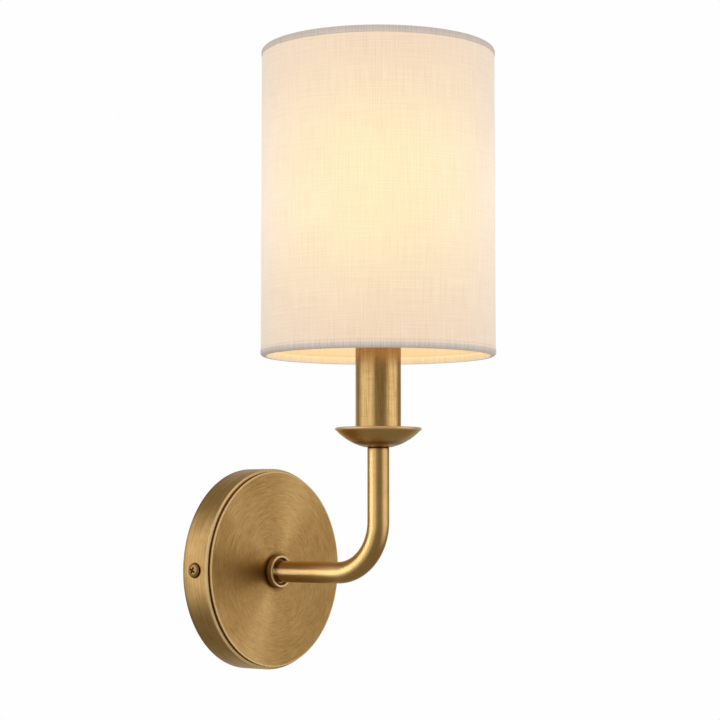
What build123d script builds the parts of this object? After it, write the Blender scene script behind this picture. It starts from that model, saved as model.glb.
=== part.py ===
"""Wall light with a drum shade: canopy, bent tube arm, drip dish, candle sleeve, lampholder, bulb and shade.

The origin is the centre of the canopy on the wall. The wall is the plane y = 0, the light stands out
towards -Y, and +Z is up. Lengths are in millimetres.
"""

import os
from math import cos, pi, radians, sin, sqrt

from build123d import *

# ---- canopy ----
canopy_radius = 60.0
canopy_depth = 18.6
canopy_wall = 1.2
canopy_lip_radius = 1.4
face_radius = 58.4
face_thickness = 2.1
face_edge_thickness = 1.1
face_groove_depth = 2.6
face_edge_round = 0.45

# ---- wall bracket ----
bracket_radius = 47.0
bracket_thickness = 1.5
cable_hole_radius = 11.0
slot_spacing = 60.0
slot_length = 14.0
slot_width = 4.6
ear_width = 15.0
ear_reach = 14.5
ear_clearance = 0.35
ear_bend_radius = 2.2
ear_foot_start = 39.5
ear_corner_radius = 3.75
ear_boss_radius = 3.6
ear_boss_length = 1.6

# ---- screws ----
side_screw_radius = 2.0
side_screw_length = 9.0
side_screw_head_radius = 4.0
side_screw_head_height = 2.3
dome_share = 0.65
screw_hole_clearance = 0.25
thread_clearance = 0.05
earth_screw_radius = 2.0
earth_screw_head_radius = 3.6
earth_screw_head_height = 2.2
earth_screw_washer_thickness = 0.8
earth_screw_washer_radius = 4.6
earth_screw_place = (-21.0, -24.0)
earth_tag_thickness = 0.8
earth_tag_radius = 4.2
earth_barrel_radius = 1.6
earth_barrel_length = 6.0

# ---- terminal block ----
pole_count = 3
pole_pitch = 10.0
block_height = 17.0
block_foot = 4.0
block_corner_radius = 1.5
block_barrel_radius = 3.9
block_web_inset = 0.5
block_bottom = 16.0
pole_depth = 7.0
insert_radius = 2.3
insert_wall = 0.8
insert_length = 13.0
insert_clearance = 0.05
pole_screw_radius = 1.25
pole_screw_length = 2.6
pole_screw_spacing = 6.0
block_screw_radius = 1.25
block_screw_head_radius = 1.9
block_screw_head_height = 1.4

# ---- arm ----
arm_reach = 98.0
arm_drop = 1.5
arm_rise = 73.0
arm_bend_radius = 30.0
arm_radius = 6.35
arm_wall = 1.3
nipple_wall = 1.0
nipple_engagement = 12.0
nipple_tail = 2.4
nut_across_flats = 14.0
nut_height = 4.0
lock_washer_thickness = 1.0
lock_washer_radius = 8.4
lock_washer_teeth = 8
lock_washer_tooth = 1.0

# ---- arm collar ----
collar_back_radius = 10.0
collar_front_radius = 9.55
collar_lip_inner_radius = 8.1
collar_length = 4.0
collar_floor = 1.5
collar_lip_round = 0.45

# ---- drip dish ----
dish_rim_radius = 25.2
dish_bowl_radius = 33.5
dish_seat_radius = 8.0
dish_wall = 1.2
dish_bead_radius = 0.85
dish_washer_radius = 7.4
dish_washer_thickness = 1.5

# ---- candle sleeve and lampholder ----
sleeve_radius = 13.25
sleeve_wall = 0.9
sleeve_length = 95.0
sleeve_seat_clearance = 0.05
holder_strip_width = 10.0
holder_pad_radius = 8.2
holder_strip_thickness = 1.0
holder_strip_bend = 1.4
holder_strip_gap = 0.1
holder_strip_overlap = 16.0
holder_neck_radius = 9.8
holder_neck_length = 17.0
holder_barrel_radius = 12.0
holder_barrel_length = 22.6
holder_flange_radius = 17.0
holder_flange_thickness = 2.4
skirt_radius = 13.9
skirt_height = 14.0
socket_mouth_radius = 10.5
socket_mouth_depth = 11.0
lead_hole_depth = 6.0
lead_hole_offset = 5.0
rivet_radius = 1.2
rivet_head_radius = 2.0
rivet_head_height = 0.9
rivet_length = 2.6
shell_wall = 0.35
shell_length = 19.0
shell_lip = 2.6
shell_depth = 4.0
contact_radius = 2.4
contact_height = 4.4
contact_rise = 1.5
contact_clearance = 0.05

# ---- bulb ----
cap_radius = 6.95
cap_clearance = 0.08
cap_length = 20.0
cap_wall = 0.3
cap_skirt_radius = 7.4
cap_skirt_length = 2.6
insulator_height = 2.6
insulator_tip_radius = 3.4
bulb_contact_radius = 2.3
bulb_contact_height = 1.2
bulb_radius = 17.5
bulb_glass_height = 74.0
bulb_widest = 26.0
bulb_glass_wall = 0.8
bulb_neck_flare = 0.25
bulb_shoulder_radius = 7.4
bulb_shoulder_drop = 16.0
glass_seal_gap = 0.05
stem_height = 9.0
stem_tip_radius = 1.8
mast_radius = 0.6
star_radius = 5.6
star_thickness = 0.6
filament_count = 4
filament_radius = 0.8
filament_length = 32.0

# ---- shade ----
shade_radius = 68.3
shade_height = 180.5
shade_fitter_height = 48.0
fabric_thickness = 0.4
liner_thickness = 0.45
glue_gap = 0.05
ring_wire_radius = 1.5
hem_thickness = 0.5
carrier_hole_clearance = 0.4
carrier_washer_radius = 22.0
carrier_washer_thickness = 1.5
carrier_arm_radius = 1.25
carrier_arm_weld = 4.6
carrier_arm_flat = 3.0
carrier_arm_bend = 6.0
carrier_arm_count = 3
carrier_arm_angle = 38.0
carrier_slit_clearance = 0.3
weld_gap = 0.05
seat_gap = 0.1
shade_ring_radius = 16.9
shade_ring_flange_radius = 19.0
shade_ring_flange_thickness = 1.6
shade_ring_height = 7.0
shade_ring_clearance = 0.08
shade_ring_grips = 12
shade_ring_grip_radius = 1.1

# ---- leads ----
lead_radius = 1.0
lead_spread = 1.3
lead_insertion = 3.0
lead_hole_clearance = 0.2
lead_drop = 8.0
lead_turn_back = 2.0
lead_entry_bend = 5.0
lead_turn_radius = 4.0
lead_gentle_bend = 60.0

# ---- places worked out from the sizes above ----
face_back = canopy_depth
face_front = canopy_depth + face_thickness
pan_front_inside = canopy_depth - canopy_wall
screw_depth = canopy_depth / 2
arm_bore_radius = arm_radius - arm_wall
nipple_radius = arm_bore_radius - thread_clearance
nipple_bore_radius = nipple_radius - nipple_wall
nipple_hole_radius = nipple_radius + screw_hole_clearance
skirt_inner_radius = canopy_radius - canopy_wall
ear_face = sqrt(skirt_inner_radius**2 - (ear_width / 2) ** 2) - ear_clearance

arm_top = arm_rise - arm_drop
bowl_centre = arm_top + sqrt(dish_bowl_radius**2 - dish_seat_radius**2)
bowl_inner_radius = dish_bowl_radius - dish_wall
dish_floor = arm_top + dish_wall
bead_place = dish_rim_radius - dish_bead_radius
bead_height = bowl_centre - sqrt((dish_bowl_radius - dish_wall / 2) ** 2 - bead_place**2)
strip_base = dish_floor + dish_washer_thickness
strip_top = strip_base + holder_strip_thickness
holder_nut_top = strip_top + nut_height

sleeve_bottom = bowl_centre - sqrt(bowl_inner_radius**2 - sleeve_radius**2) + sleeve_seat_clearance
sleeve_top = sleeve_bottom + sleeve_length
sleeve_bore_radius = sleeve_radius - sleeve_wall
flange_top = sleeve_top + holder_flange_thickness
skirt_top = flange_top + skirt_height
barrel_bottom = sleeve_top - holder_barrel_length
neck_bottom = barrel_bottom - holder_neck_length
strip_inner = holder_neck_radius + holder_strip_gap
strip_end = neck_bottom + holder_strip_overlap
rivet_level = (neck_bottom + strip_end) / 2
shell_inner_radius = cap_radius + cap_clearance
shell_outer_radius = shell_inner_radius + shell_wall
shell_top = skirt_top - shell_depth
shell_bottom = shell_top - shell_length
contact_bottom = shell_bottom + contact_rise - contact_height
bulb_bottom = shell_bottom + contact_rise + contact_clearance
cap_bottom = bulb_bottom + bulb_contact_height + insulator_height
cap_top = cap_bottom + cap_length
glass_bottom = cap_top + cap_skirt_length
glass_neck_radius = cap_skirt_radius - cap_wall - glass_seal_gap

shade_bottom = flange_top + seat_gap - shade_fitter_height
shade_top = shade_bottom + shade_height
hem_radius = ring_wire_radius + glue_gap + hem_thickness
wire_place = shade_radius - hem_radius
bottom_wire_level = shade_bottom + hem_radius
top_wire_level = shade_top - hem_radius
fabric_inner_radius = shade_radius - fabric_thickness
liner_radius = fabric_inner_radius - glue_gap
carrier_bottom = flange_top + seat_gap
carrier_top = carrier_bottom + carrier_washer_thickness
carrier_arm_level = carrier_bottom - carrier_arm_radius
carrier_hole_radius = skirt_radius + carrier_hole_clearance
shade_ring_bottom = carrier_top + seat_gap

# ---- planes and axes ----
lamp_axis = Axis((0, -arm_reach, 0), (0, 0, 1))
arm_axis = Axis((0, 0, -arm_drop), (0, -1, 0))
lamp_section = Plane(origin=(0, -arm_reach, 0), x_dir=(1, 0, 0), z_dir=(0, -1, 0))
arm_section = Plane(origin=(0, 0, -arm_drop), x_dir=(1, 0, 0), z_dir=(0, 0, 1))


def at_depth(depth, rise=0.0):
    """A plane facing the room, this far in front of the wall and this far above the canopy's centre."""
    return Plane(origin=(0, -depth, rise), x_dir=(1, 0, 0), z_dir=(0, -1, 0))


def at_level(level):
    """A level plane centred on the lamp axis."""
    return Plane(origin=(0, -arm_reach, level))


os.makedirs("parts", exist_ok=True)


def save(part, name):
    """Label a finished piece and write it."""
    part.label = name
    export_step(part, f"parts/{name}.step")


# ---- canopy_pan: a pressed pan with a rounded lip, open to the wall ----
with BuildPart() as canopy_pan:
    with BuildSketch(at_depth(0)):
        Circle(canopy_radius)
    extrude(amount=canopy_depth)
    fillet(canopy_pan.edges().filter_by(GeomType.CIRCLE).sort_by(Axis.Y)[0], canopy_lip_radius)
    with BuildSketch(at_depth(0)):
        Circle(skirt_inner_radius)
    extrude(amount=pan_front_inside, mode=Mode.SUBTRACT)
    with BuildSketch(at_depth(0, -arm_drop)):
        Circle(nipple_hole_radius)
    extrude(amount=canopy_depth, mode=Mode.SUBTRACT)
    with BuildSketch(Plane.YZ):
        with Locations((-screw_depth, 0)):
            Circle(side_screw_radius + screw_hole_clearance)
    extrude(amount=canopy_radius, both=True, mode=Mode.SUBTRACT)
save(canopy_pan.part, "canopy_pan")

# ---- face_disc: front plate whose undercut edge leaves the shadow groove ----
with BuildPart() as face_disc:
    with BuildSketch(at_depth(face_back)):
        Circle(face_radius - face_groove_depth)
    extrude(amount=face_thickness)
    with BuildSketch(at_depth(face_front - face_edge_thickness)):
        Circle(face_radius)
    extrude(amount=face_edge_thickness)
    fillet(face_disc.edges().filter_by(GeomType.CIRCLE).sort_by(Axis.Y)[0], face_edge_round)
    with BuildSketch(at_depth(0, -arm_drop)):
        Circle(nipple_hole_radius)
    extrude(amount=face_front, mode=Mode.SUBTRACT)
save(face_disc.part, "face_disc")

# ---- wall_bracket: round plate with two wall slots and a cable hole ----
with BuildPart() as wall_bracket:
    with BuildSketch(at_depth(0)):
        Circle(bracket_radius)
        Circle(cable_hole_radius, mode=Mode.SUBTRACT)
        with GridLocations(slot_spacing, 0, 2, 1):
            SlotOverall(slot_length, slot_width, mode=Mode.SUBTRACT)
        with Locations(earth_screw_place):
            Circle(earth_screw_radius + thread_clearance, mode=Mode.SUBTRACT)
        with Locations((0, block_bottom + block_height / 2)):
            with GridLocations(pole_pitch, 0, pole_count - 1, 1):
                Circle(block_screw_radius + thread_clearance, mode=Mode.SUBTRACT)
    extrude(amount=bracket_thickness)
save(wall_bracket.part, "wall_bracket")

# ---- bracket_ears: a bent strip at each side, its foot welded to the plate and its end tapped ----
ear_inner = ear_face - bracket_thickness
ear_middle = ear_face - bracket_thickness / 2
ear_foot_depth = bracket_thickness + weld_gap + bracket_thickness / 2
with BuildPart() as bracket_ears:
    with BuildSketch(Plane.XY):
        with BuildLine():
            FilletPolyline(
                (ear_foot_start, -ear_foot_depth),
                (ear_middle, -ear_foot_depth),
                (ear_middle, -ear_reach),
                radius=ear_bend_radius,
            )
        trace(line_width=bracket_thickness)
        mirror(about=Plane.YZ)
    extrude(amount=ear_width / 2, both=True)
    fillet(bracket_ears.edges().filter_by(Axis.X).group_by(Axis.Y)[0], ear_corner_radius)
    with BuildSketch(Plane.YZ.offset(ear_inner)):
        with Locations((-screw_depth, 0)):
            Circle(ear_boss_radius)
    extrude(amount=-ear_boss_length)
    with BuildSketch(Plane.YZ.offset(-ear_inner)):
        with Locations((-screw_depth, 0)):
            Circle(ear_boss_radius)
    extrude(amount=ear_boss_length)
    with BuildSketch(Plane.YZ):
        with Locations((-screw_depth, 0)):
            Circle(side_screw_radius + thread_clearance)
    extrude(amount=ear_face, both=True, mode=Mode.SUBTRACT)
save(bracket_ears.part, "bracket_ears")


def side_screw(side):
    """A pan-head screw lying along X, its head outside the skirt on the given side."""
    with BuildPart() as screw:
        with BuildSketch(Plane(origin=(side * canopy_radius, -screw_depth, 0), z_dir=(side, 0, 0))):
            Circle(side_screw_head_radius)
        extrude(amount=side_screw_head_height)
        crown = screw.edges().filter_by(GeomType.CIRCLE).sort_by(Axis.X)
        fillet(crown[-1] if side > 0 else crown[0], side_screw_head_height * dome_share)
        with BuildSketch(Plane(origin=(side * canopy_radius, -screw_depth, 0), z_dir=(-side, 0, 0))):
            Circle(side_screw_radius)
        extrude(amount=side_screw_length)
    return screw.part


# ---- side_screws: one at each side, through the skirt into the bracket's ears ----
side_screws = Compound(children=[side_screw(-1), side_screw(1)])
save(side_screws, "side_screws")

# ---- earth_screw: pan head and washer over the earth tag, threaded into the bracket ----
tag_front = bracket_thickness + earth_tag_thickness
with BuildPart() as earth_screw:
    for start, length, radius in (
        (0, tag_front, earth_screw_radius),
        (tag_front, earth_screw_washer_thickness, earth_screw_washer_radius),
        (tag_front + earth_screw_washer_thickness, earth_screw_head_height, earth_screw_head_radius),
    ):
        with BuildSketch(at_depth(start)):
            with Locations(earth_screw_place):
                Circle(radius)
        extrude(amount=length)
    head_edge = earth_screw.edges().filter_by(GeomType.CIRCLE).sort_by(Axis.Y)[0]
    fillet(head_edge, earth_screw_head_height * dome_share)
save(earth_screw.part, "earth_screw")

# ---- earth_tag: flat ring under the earth screw, with a crimp barrel standing up from it ----
earth_x, earth_z = earth_screw_place
barrel_depth = bracket_thickness + earth_barrel_radius
barrel_bottom_level = earth_z + earth_screw_washer_radius + screw_hole_clearance
with BuildPart() as earth_tag:
    with BuildSketch(at_depth(bracket_thickness)):
        with Locations(earth_screw_place):
            Circle(earth_tag_radius)
        with Locations((earth_x, (earth_z + barrel_bottom_level) / 2 + earth_barrel_radius)):
            Rectangle(2 * earth_barrel_radius, barrel_bottom_level - earth_z)
    extrude(amount=earth_tag_thickness)
    with BuildSketch(Plane(origin=(earth_x, -barrel_depth, barrel_bottom_level))):
        Circle(earth_barrel_radius)
    extrude(amount=earth_barrel_length)
    with BuildSketch(Plane(origin=(earth_x, -barrel_depth, barrel_bottom_level))):
        Circle(lead_radius + thread_clearance)
    extrude(amount=earth_barrel_length, mode=Mode.SUBTRACT)
    with BuildSketch(at_depth(bracket_thickness)):
        with Locations(earth_screw_place):
            Circle(earth_screw_radius + thread_clearance)
    extrude(amount=earth_tag_thickness, mode=Mode.SUBTRACT)
save(earth_tag.part, "earth_tag")

# ---- terminal_block: three moulded barrels on a foot, screwed to the bracket between the poles ----
pole_places = [(index - (pole_count - 1) / 2) * pole_pitch for index in range(pole_count)]
block_middle = block_bottom + block_height / 2
pole_axis_depth = bracket_thickness + pole_depth
block_top_depth = pole_axis_depth + block_barrel_radius
with BuildPart() as terminal_block:
    with BuildSketch(at_depth(bracket_thickness)):
        with Locations((0, block_middle)):
            RectangleRounded(pole_count * pole_pitch, block_height, block_corner_radius)
    extrude(amount=block_foot)
    with BuildSketch(Plane(origin=(0, 0, block_bottom))):
        for place in pole_places:
            with Locations((place, -pole_axis_depth)):
                Circle(block_barrel_radius)
            with Locations((place, -(bracket_thickness + pole_axis_depth) / 2)):
                Rectangle(2 * (block_barrel_radius - block_web_inset), pole_depth)
    extrude(amount=block_height)
    with BuildSketch(Plane(origin=(0, 0, block_bottom))):
        for place in pole_places:
            with Locations((place, -pole_axis_depth)):
                Circle(insert_radius + insert_clearance)
    extrude(amount=block_height, mode=Mode.SUBTRACT)
    with BuildSketch(at_depth(pole_axis_depth)):
        with Locations((0, block_middle)):
            with GridLocations(pole_pitch, pole_screw_spacing, pole_count, 2):
                Circle(pole_screw_radius + screw_hole_clearance)
    extrude(amount=block_barrel_radius, mode=Mode.SUBTRACT)
    with BuildSketch(at_depth(bracket_thickness)):
        with Locations((0, block_middle)):
            with GridLocations(pole_pitch, 0, pole_count - 1, 1):
                Circle(block_screw_radius + screw_hole_clearance)
    extrude(amount=block_top_depth, mode=Mode.SUBTRACT)
    with BuildSketch(at_depth(bracket_thickness + block_foot)):
        with Locations((0, block_middle)):
            with GridLocations(pole_pitch, 0, pole_count - 1, 1):
                Circle(block_screw_head_radius + screw_hole_clearance)
    extrude(amount=block_top_depth, mode=Mode.SUBTRACT)
save(terminal_block.part, "terminal_block")

# ---- terminal_inserts: brass tubes in the barrels, tapped for the pole screws ----
insert_bottom = block_middle - insert_length / 2
with BuildPart() as terminal_inserts:
    with BuildSketch(Plane(origin=(0, 0, insert_bottom))):
        for place in pole_places:
            with Locations((place, -pole_axis_depth)):
                Circle(insert_radius)
                Circle(insert_radius - insert_wall, mode=Mode.SUBTRACT)
    extrude(amount=insert_length)
    with BuildSketch(at_depth(pole_axis_depth)):
        with Locations((0, block_middle)):
            with GridLocations(pole_pitch, pole_screw_spacing, pole_count, 2):
                Circle(pole_screw_radius + thread_clearance)
    extrude(amount=insert_radius, mode=Mode.SUBTRACT)
save(terminal_inserts.part, "terminal_inserts")

# ---- terminal_screws: two slotted screws in each pole ----
pole_screw_tip = pole_axis_depth + lead_radius + thread_clearance
with BuildPart() as terminal_screws:
    with BuildSketch(at_depth(pole_screw_tip)):
        with Locations((0, block_middle)):
            with GridLocations(pole_pitch, pole_screw_spacing, pole_count, 2):
                Circle(pole_screw_radius)
    extrude(amount=pole_screw_length)
save(terminal_screws.part, "terminal_screws")

# ---- block_screws: hold the terminal block on the bracket, between the barrels ----
with BuildPart() as block_screws:
    with BuildSketch(at_depth(0)):
        with Locations((0, block_middle)):
            with GridLocations(pole_pitch, 0, pole_count - 1, 1):
                Circle(block_screw_radius)
    extrude(amount=bracket_thickness + block_foot)
    with BuildSketch(at_depth(bracket_thickness + block_foot)):
        with Locations((0, block_middle)):
            with GridLocations(pole_pitch, 0, pole_count - 1, 1):
                Circle(block_screw_head_radius)
    extrude(amount=block_screw_head_height)
save(block_screws.part, "block_screws")

# ---- mounting_nipple: hollow threaded rod from inside the canopy into the arm's end ----
nipple_back = pan_front_inside - lock_washer_thickness - nut_height - nipple_tail
with BuildPart() as mounting_nipple:
    with BuildSketch(at_depth(nipple_back, -arm_drop)):
        Circle(nipple_radius)
        Circle(nipple_bore_radius, mode=Mode.SUBTRACT)
    extrude(amount=face_front + nipple_engagement - nipple_back)
save(mounting_nipple.part, "mounting_nipple")

# ---- lock_washer: toothed washer under the canopy nut ----
with BuildPart() as lock_washer:
    with BuildSketch(at_depth(pan_front_inside - lock_washer_thickness, -arm_drop)):
        Circle(lock_washer_radius - lock_washer_tooth)
        with PolarLocations(lock_washer_radius - lock_washer_tooth, lock_washer_teeth):
            Rectangle(2 * lock_washer_tooth, 2 * lock_washer_tooth)
        Circle(nipple_radius + thread_clearance, mode=Mode.SUBTRACT)
    extrude(amount=lock_washer_thickness)
save(lock_washer.part, "lock_washer")

# ---- canopy_nut: hexagon nut that pulls the arm against the face ----
with BuildPart() as canopy_nut:
    with BuildSketch(at_depth(nipple_back + nipple_tail, -arm_drop)):
        RegularPolygon(nut_across_flats / 2, 6, major_radius=False)
        Circle(nipple_radius + thread_clearance, mode=Mode.SUBTRACT)
    extrude(amount=nut_height)
save(canopy_nut.part, "canopy_nut")

# ---- arm_collar: cupped ring round the arm's root, with a thin rounded lip ----
with BuildPart() as arm_collar:
    with BuildSketch(arm_section):
        with BuildLine():
            Polyline(
                (arm_radius + thread_clearance, -face_front),
                (collar_back_radius, -face_front),
                (collar_front_radius, -face_front - collar_length),
                (collar_lip_inner_radius, -face_front - collar_length),
                (collar_lip_inner_radius, -face_front - collar_floor),
                (arm_radius + thread_clearance, -face_front - collar_floor),
                close=True,
            )
        make_face()
    revolve(axis=arm_axis)
    fillet(arm_collar.edges().filter_by(GeomType.CIRCLE).group_by(Axis.Y)[0], collar_lip_round)
save(arm_collar.part, "arm_collar")

# ---- arm_tube: level out of the face, one bend, then straight up to the dish ----
with BuildPart() as arm_tube:
    with BuildLine() as arm_line:
        FilletPolyline(
            (0, -face_front, -arm_drop),
            (0, -arm_reach, -arm_drop),
            (0, -arm_reach, arm_top),
            radius=arm_bend_radius,
        )
    with BuildSketch(at_depth(face_front, -arm_drop)):
        Circle(arm_radius)
        Circle(arm_bore_radius, mode=Mode.SUBTRACT)
    sweep(path=arm_line.line)
save(arm_tube.part, "arm_tube")

# ---- riser_nipple: hollow threaded rod out of the arm's top, through dish, washer and holder strip ----
riser_nipple_bottom = arm_top - nipple_engagement
riser_nipple_top = holder_nut_top + nipple_tail / 2
with BuildPart() as riser_nipple:
    with BuildSketch(at_level(riser_nipple_bottom)):
        Circle(nipple_radius)
        Circle(nipple_bore_radius, mode=Mode.SUBTRACT)
    extrude(amount=riser_nipple_top - riser_nipple_bottom)
save(riser_nipple.part, "riser_nipple")

# ---- drip_dish: spun shallow bowl with a beaded rim and a flat seat on the arm's end ----
inner_seat_radius = sqrt(bowl_inner_radius**2 - (bowl_centre - dish_floor) ** 2)
rim_turn = sqrt((dish_bowl_radius - dish_wall / 2) ** 2 - bead_place**2) / (dish_bowl_radius - dish_wall / 2)
rim_run = bead_place / (dish_bowl_radius - dish_wall / 2)
with BuildPart() as drip_dish:
    with BuildSketch(lamp_section):
        with BuildLine():
            outer_rim = (dish_bowl_radius * rim_run, bowl_centre - dish_bowl_radius * rim_turn)
            inner_rim = (bowl_inner_radius * rim_run, bowl_centre - bowl_inner_radius * rim_turn)
            Line((nipple_hole_radius, arm_top), (dish_seat_radius, arm_top))
            RadiusArc((dish_seat_radius, arm_top), outer_rim, -dish_bowl_radius)
            Line(outer_rim, inner_rim)
            RadiusArc(inner_rim, (inner_seat_radius, dish_floor), bowl_inner_radius)
            Line((inner_seat_radius, dish_floor), (nipple_hole_radius, dish_floor))
            Line((nipple_hole_radius, dish_floor), (nipple_hole_radius, arm_top))
        make_face()
        with Locations((bead_place, bead_height)):
            Circle(dish_bead_radius)
    revolve(axis=lamp_axis)
save(drip_dish.part, "drip_dish")

# ---- dish_washer: spacer on the dish floor under the holder strip ----
with BuildPart() as dish_washer:
    with BuildSketch(at_level(dish_floor)):
        Circle(dish_washer_radius)
        Circle(nipple_hole_radius, mode=Mode.SUBTRACT)
    extrude(amount=dish_washer_thickness)
save(dish_washer.part, "dish_washer")

# ---- holder_bracket: U-shaped steel strip that lifts the lampholder off the nipple ----
strip_outer = strip_inner + holder_strip_thickness
with BuildPart() as holder_bracket:
    with BuildSketch(lamp_section):
        with BuildLine():
            FilletPolyline(
                (-strip_outer, strip_end),
                (-strip_outer, strip_base),
                (strip_outer, strip_base),
                (strip_outer, strip_end),
                radius=holder_strip_bend + holder_strip_thickness,
            )
            FilletPolyline(
                (-strip_inner, strip_end),
                (-strip_inner, strip_top),
                (strip_inner, strip_top),
                (strip_inner, strip_end),
                radius=holder_strip_bend,
            )
            Line((-strip_outer, strip_end), (-strip_inner, strip_end))
            Line((strip_inner, strip_end), (strip_outer, strip_end))
        make_face()
    extrude(amount=holder_strip_width / 2, both=True)
    with BuildSketch(at_level(strip_base)):
        Circle(holder_pad_radius)
    extrude(amount=holder_strip_thickness)
    with BuildSketch(at_level(strip_base)):
        Circle(nipple_hole_radius)
    extrude(amount=holder_strip_thickness, mode=Mode.SUBTRACT)
    with BuildSketch(Plane(origin=(0, -arm_reach, rivet_level), x_dir=(0, 1, 0), z_dir=(1, 0, 0))):
        Circle(rivet_radius + thread_clearance)
    extrude(amount=strip_outer, both=True, mode=Mode.SUBTRACT)
save(holder_bracket.part, "holder_bracket")

# ---- holder_nut: clamps strip, washer and dish on the riser nipple ----
with BuildPart() as holder_nut:
    with BuildSketch(at_level(strip_top)):
        RegularPolygon(nut_across_flats / 2, 6, major_radius=False)
        Circle(nipple_radius + thread_clearance, mode=Mode.SUBTRACT)
    extrude(amount=nut_height)
save(holder_nut.part, "holder_nut")

# ---- lampholder_body: moulded neck, barrel, flange and threaded skirt with a stepped socket ----
socket_step = skirt_top - socket_mouth_depth
with BuildPart() as lampholder_body:
    with BuildSketch(lamp_section):
        with BuildLine():
            Polyline(
                (0, neck_bottom),
                (holder_neck_radius, neck_bottom),
                (holder_neck_radius, barrel_bottom),
                (holder_barrel_radius, barrel_bottom),
                (holder_barrel_radius, sleeve_top),
                (holder_flange_radius, sleeve_top),
                (holder_flange_radius, flange_top),
                (skirt_radius, flange_top),
                (skirt_radius, skirt_top),
                (socket_mouth_radius, skirt_top),
                (socket_mouth_radius, socket_step),
                (shell_outer_radius + thread_clearance, socket_step),
                (shell_outer_radius + thread_clearance, shell_bottom),
                (contact_radius + thread_clearance, shell_bottom),
                (contact_radius + thread_clearance, contact_bottom),
                (0, contact_bottom),
                close=True,
            )
        make_face()
    revolve(axis=lamp_axis)
    with BuildSketch(at_level(neck_bottom)):
        with GridLocations(2 * lead_hole_offset, 0, 2, 1):
            Circle(lead_radius + lead_hole_clearance)
    extrude(amount=lead_hole_depth, mode=Mode.SUBTRACT)
    for side in (-1, 1):
        with BuildSketch(Plane(origin=(side * strip_outer, -arm_reach, rivet_level), z_dir=(-side, 0, 0))):
            Circle(rivet_radius + thread_clearance)
        extrude(amount=holder_strip_thickness + holder_strip_gap + rivet_length, mode=Mode.SUBTRACT)
save(lampholder_body.part, "lampholder_body")


def holder_rivet(side):
    """A domed rivet along X, through the strip into the lampholder's neck."""
    with BuildPart() as rivet:
        with BuildSketch(Plane(origin=(side * strip_outer, -arm_reach, rivet_level), z_dir=(side, 0, 0))):
            Circle(rivet_head_radius)
        extrude(amount=rivet_head_height)
        crown = rivet.edges().filter_by(GeomType.CIRCLE).sort_by(Axis.X)
        fillet(crown[-1] if side > 0 else crown[0], rivet_head_height * dome_share)
        with BuildSketch(Plane(origin=(side * strip_outer, -arm_reach, rivet_level), z_dir=(-side, 0, 0))):
            Circle(rivet_radius)
        extrude(amount=holder_strip_thickness + holder_strip_gap + rivet_length - thread_clearance)
    return rivet.part


# ---- holder_rivets: one through each leg of the strip ----
save(Compound(children=[holder_rivet(-1), holder_rivet(1)]), "holder_rivets")

# ---- screw_shell: thin brass socket shell with a turned-in lip ----
with BuildPart() as screw_shell:
    with BuildSketch(at_level(shell_bottom)):
        Circle(shell_outer_radius)
        Circle(shell_inner_radius, mode=Mode.SUBTRACT)
    extrude(amount=shell_length)
    with BuildSketch(at_level(shell_bottom)):
        Circle(shell_outer_radius)
        Circle(shell_outer_radius - shell_lip, mode=Mode.SUBTRACT)
    extrude(amount=shell_wall)
save(screw_shell.part, "screw_shell")

# ---- centre_contact: sprung centre pin under the bulb ----
with BuildPart() as centre_contact:
    with BuildSketch(at_level(contact_bottom)):
        Circle(contact_radius)
    extrude(amount=contact_height)
    fillet(centre_contact.edges().filter_by(GeomType.CIRCLE).sort_by(Axis.Z)[-1], contact_radius * dome_share)
save(centre_contact.part, "centre_contact")

# ---- candle_sleeve: straight tube standing in the dish, closed by the lampholder's flange ----
with BuildPart() as candle_sleeve:
    with BuildSketch(at_level(sleeve_bottom)):
        Circle(sleeve_radius)
        Circle(sleeve_bore_radius, mode=Mode.SUBTRACT)
    extrude(amount=sleeve_length)
save(candle_sleeve.part, "candle_sleeve")

# ---- shade_ring: flanged ring nut with finger grips, on the lampholder's skirt ----
with BuildPart() as shade_ring:
    with BuildSketch(at_level(shade_ring_bottom)):
        Circle(shade_ring_flange_radius)
    extrude(amount=shade_ring_flange_thickness)
    with BuildSketch(at_level(shade_ring_bottom)):
        Circle(shade_ring_radius)
    extrude(amount=shade_ring_height)
    with BuildSketch(at_level(shade_ring_bottom + shade_ring_flange_thickness)):
        with PolarLocations(shade_ring_radius, shade_ring_grips):
            Circle(shade_ring_grip_radius)
    extrude(amount=shade_ring_height, mode=Mode.SUBTRACT)
    with BuildSketch(at_level(shade_ring_bottom)):
        Circle(skirt_radius + shade_ring_clearance)
    extrude(amount=shade_ring_height, mode=Mode.SUBTRACT)
save(shade_ring.part, "shade_ring")

# ---- bottom_wire_ring and top_wire_ring: round wire inside the shade's rolled hems ----
for name, wire_level in (("bottom_wire_ring", bottom_wire_level), ("top_wire_ring", top_wire_level)):
    with BuildPart() as wire_ring:
        with BuildSketch(lamp_section):
            with Locations((wire_place, wire_level)):
                Circle(ring_wire_radius)
        revolve(axis=lamp_axis)
    save(wire_ring.part, name)

# ---- carrier_washer: flat ring clamped between the lampholder's flange and the shade ring ----
with BuildPart() as carrier_washer:
    with BuildSketch(at_level(carrier_bottom)):
        Circle(carrier_washer_radius)
        Circle(carrier_hole_radius, mode=Mode.SUBTRACT)
    extrude(amount=carrier_washer_thickness)
save(carrier_washer.part, "carrier_washer")

# ---- carrier_arms: wires welded under the washer's edge that slope down to the bottom wire ring ----
arm_start = carrier_washer_radius - carrier_arm_weld
arm_flat_end = carrier_washer_radius + carrier_arm_flat
carrier_turns = [carrier_arm_angle + index * 360 / carrier_arm_count for index in range(carrier_arm_count)]


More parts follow.
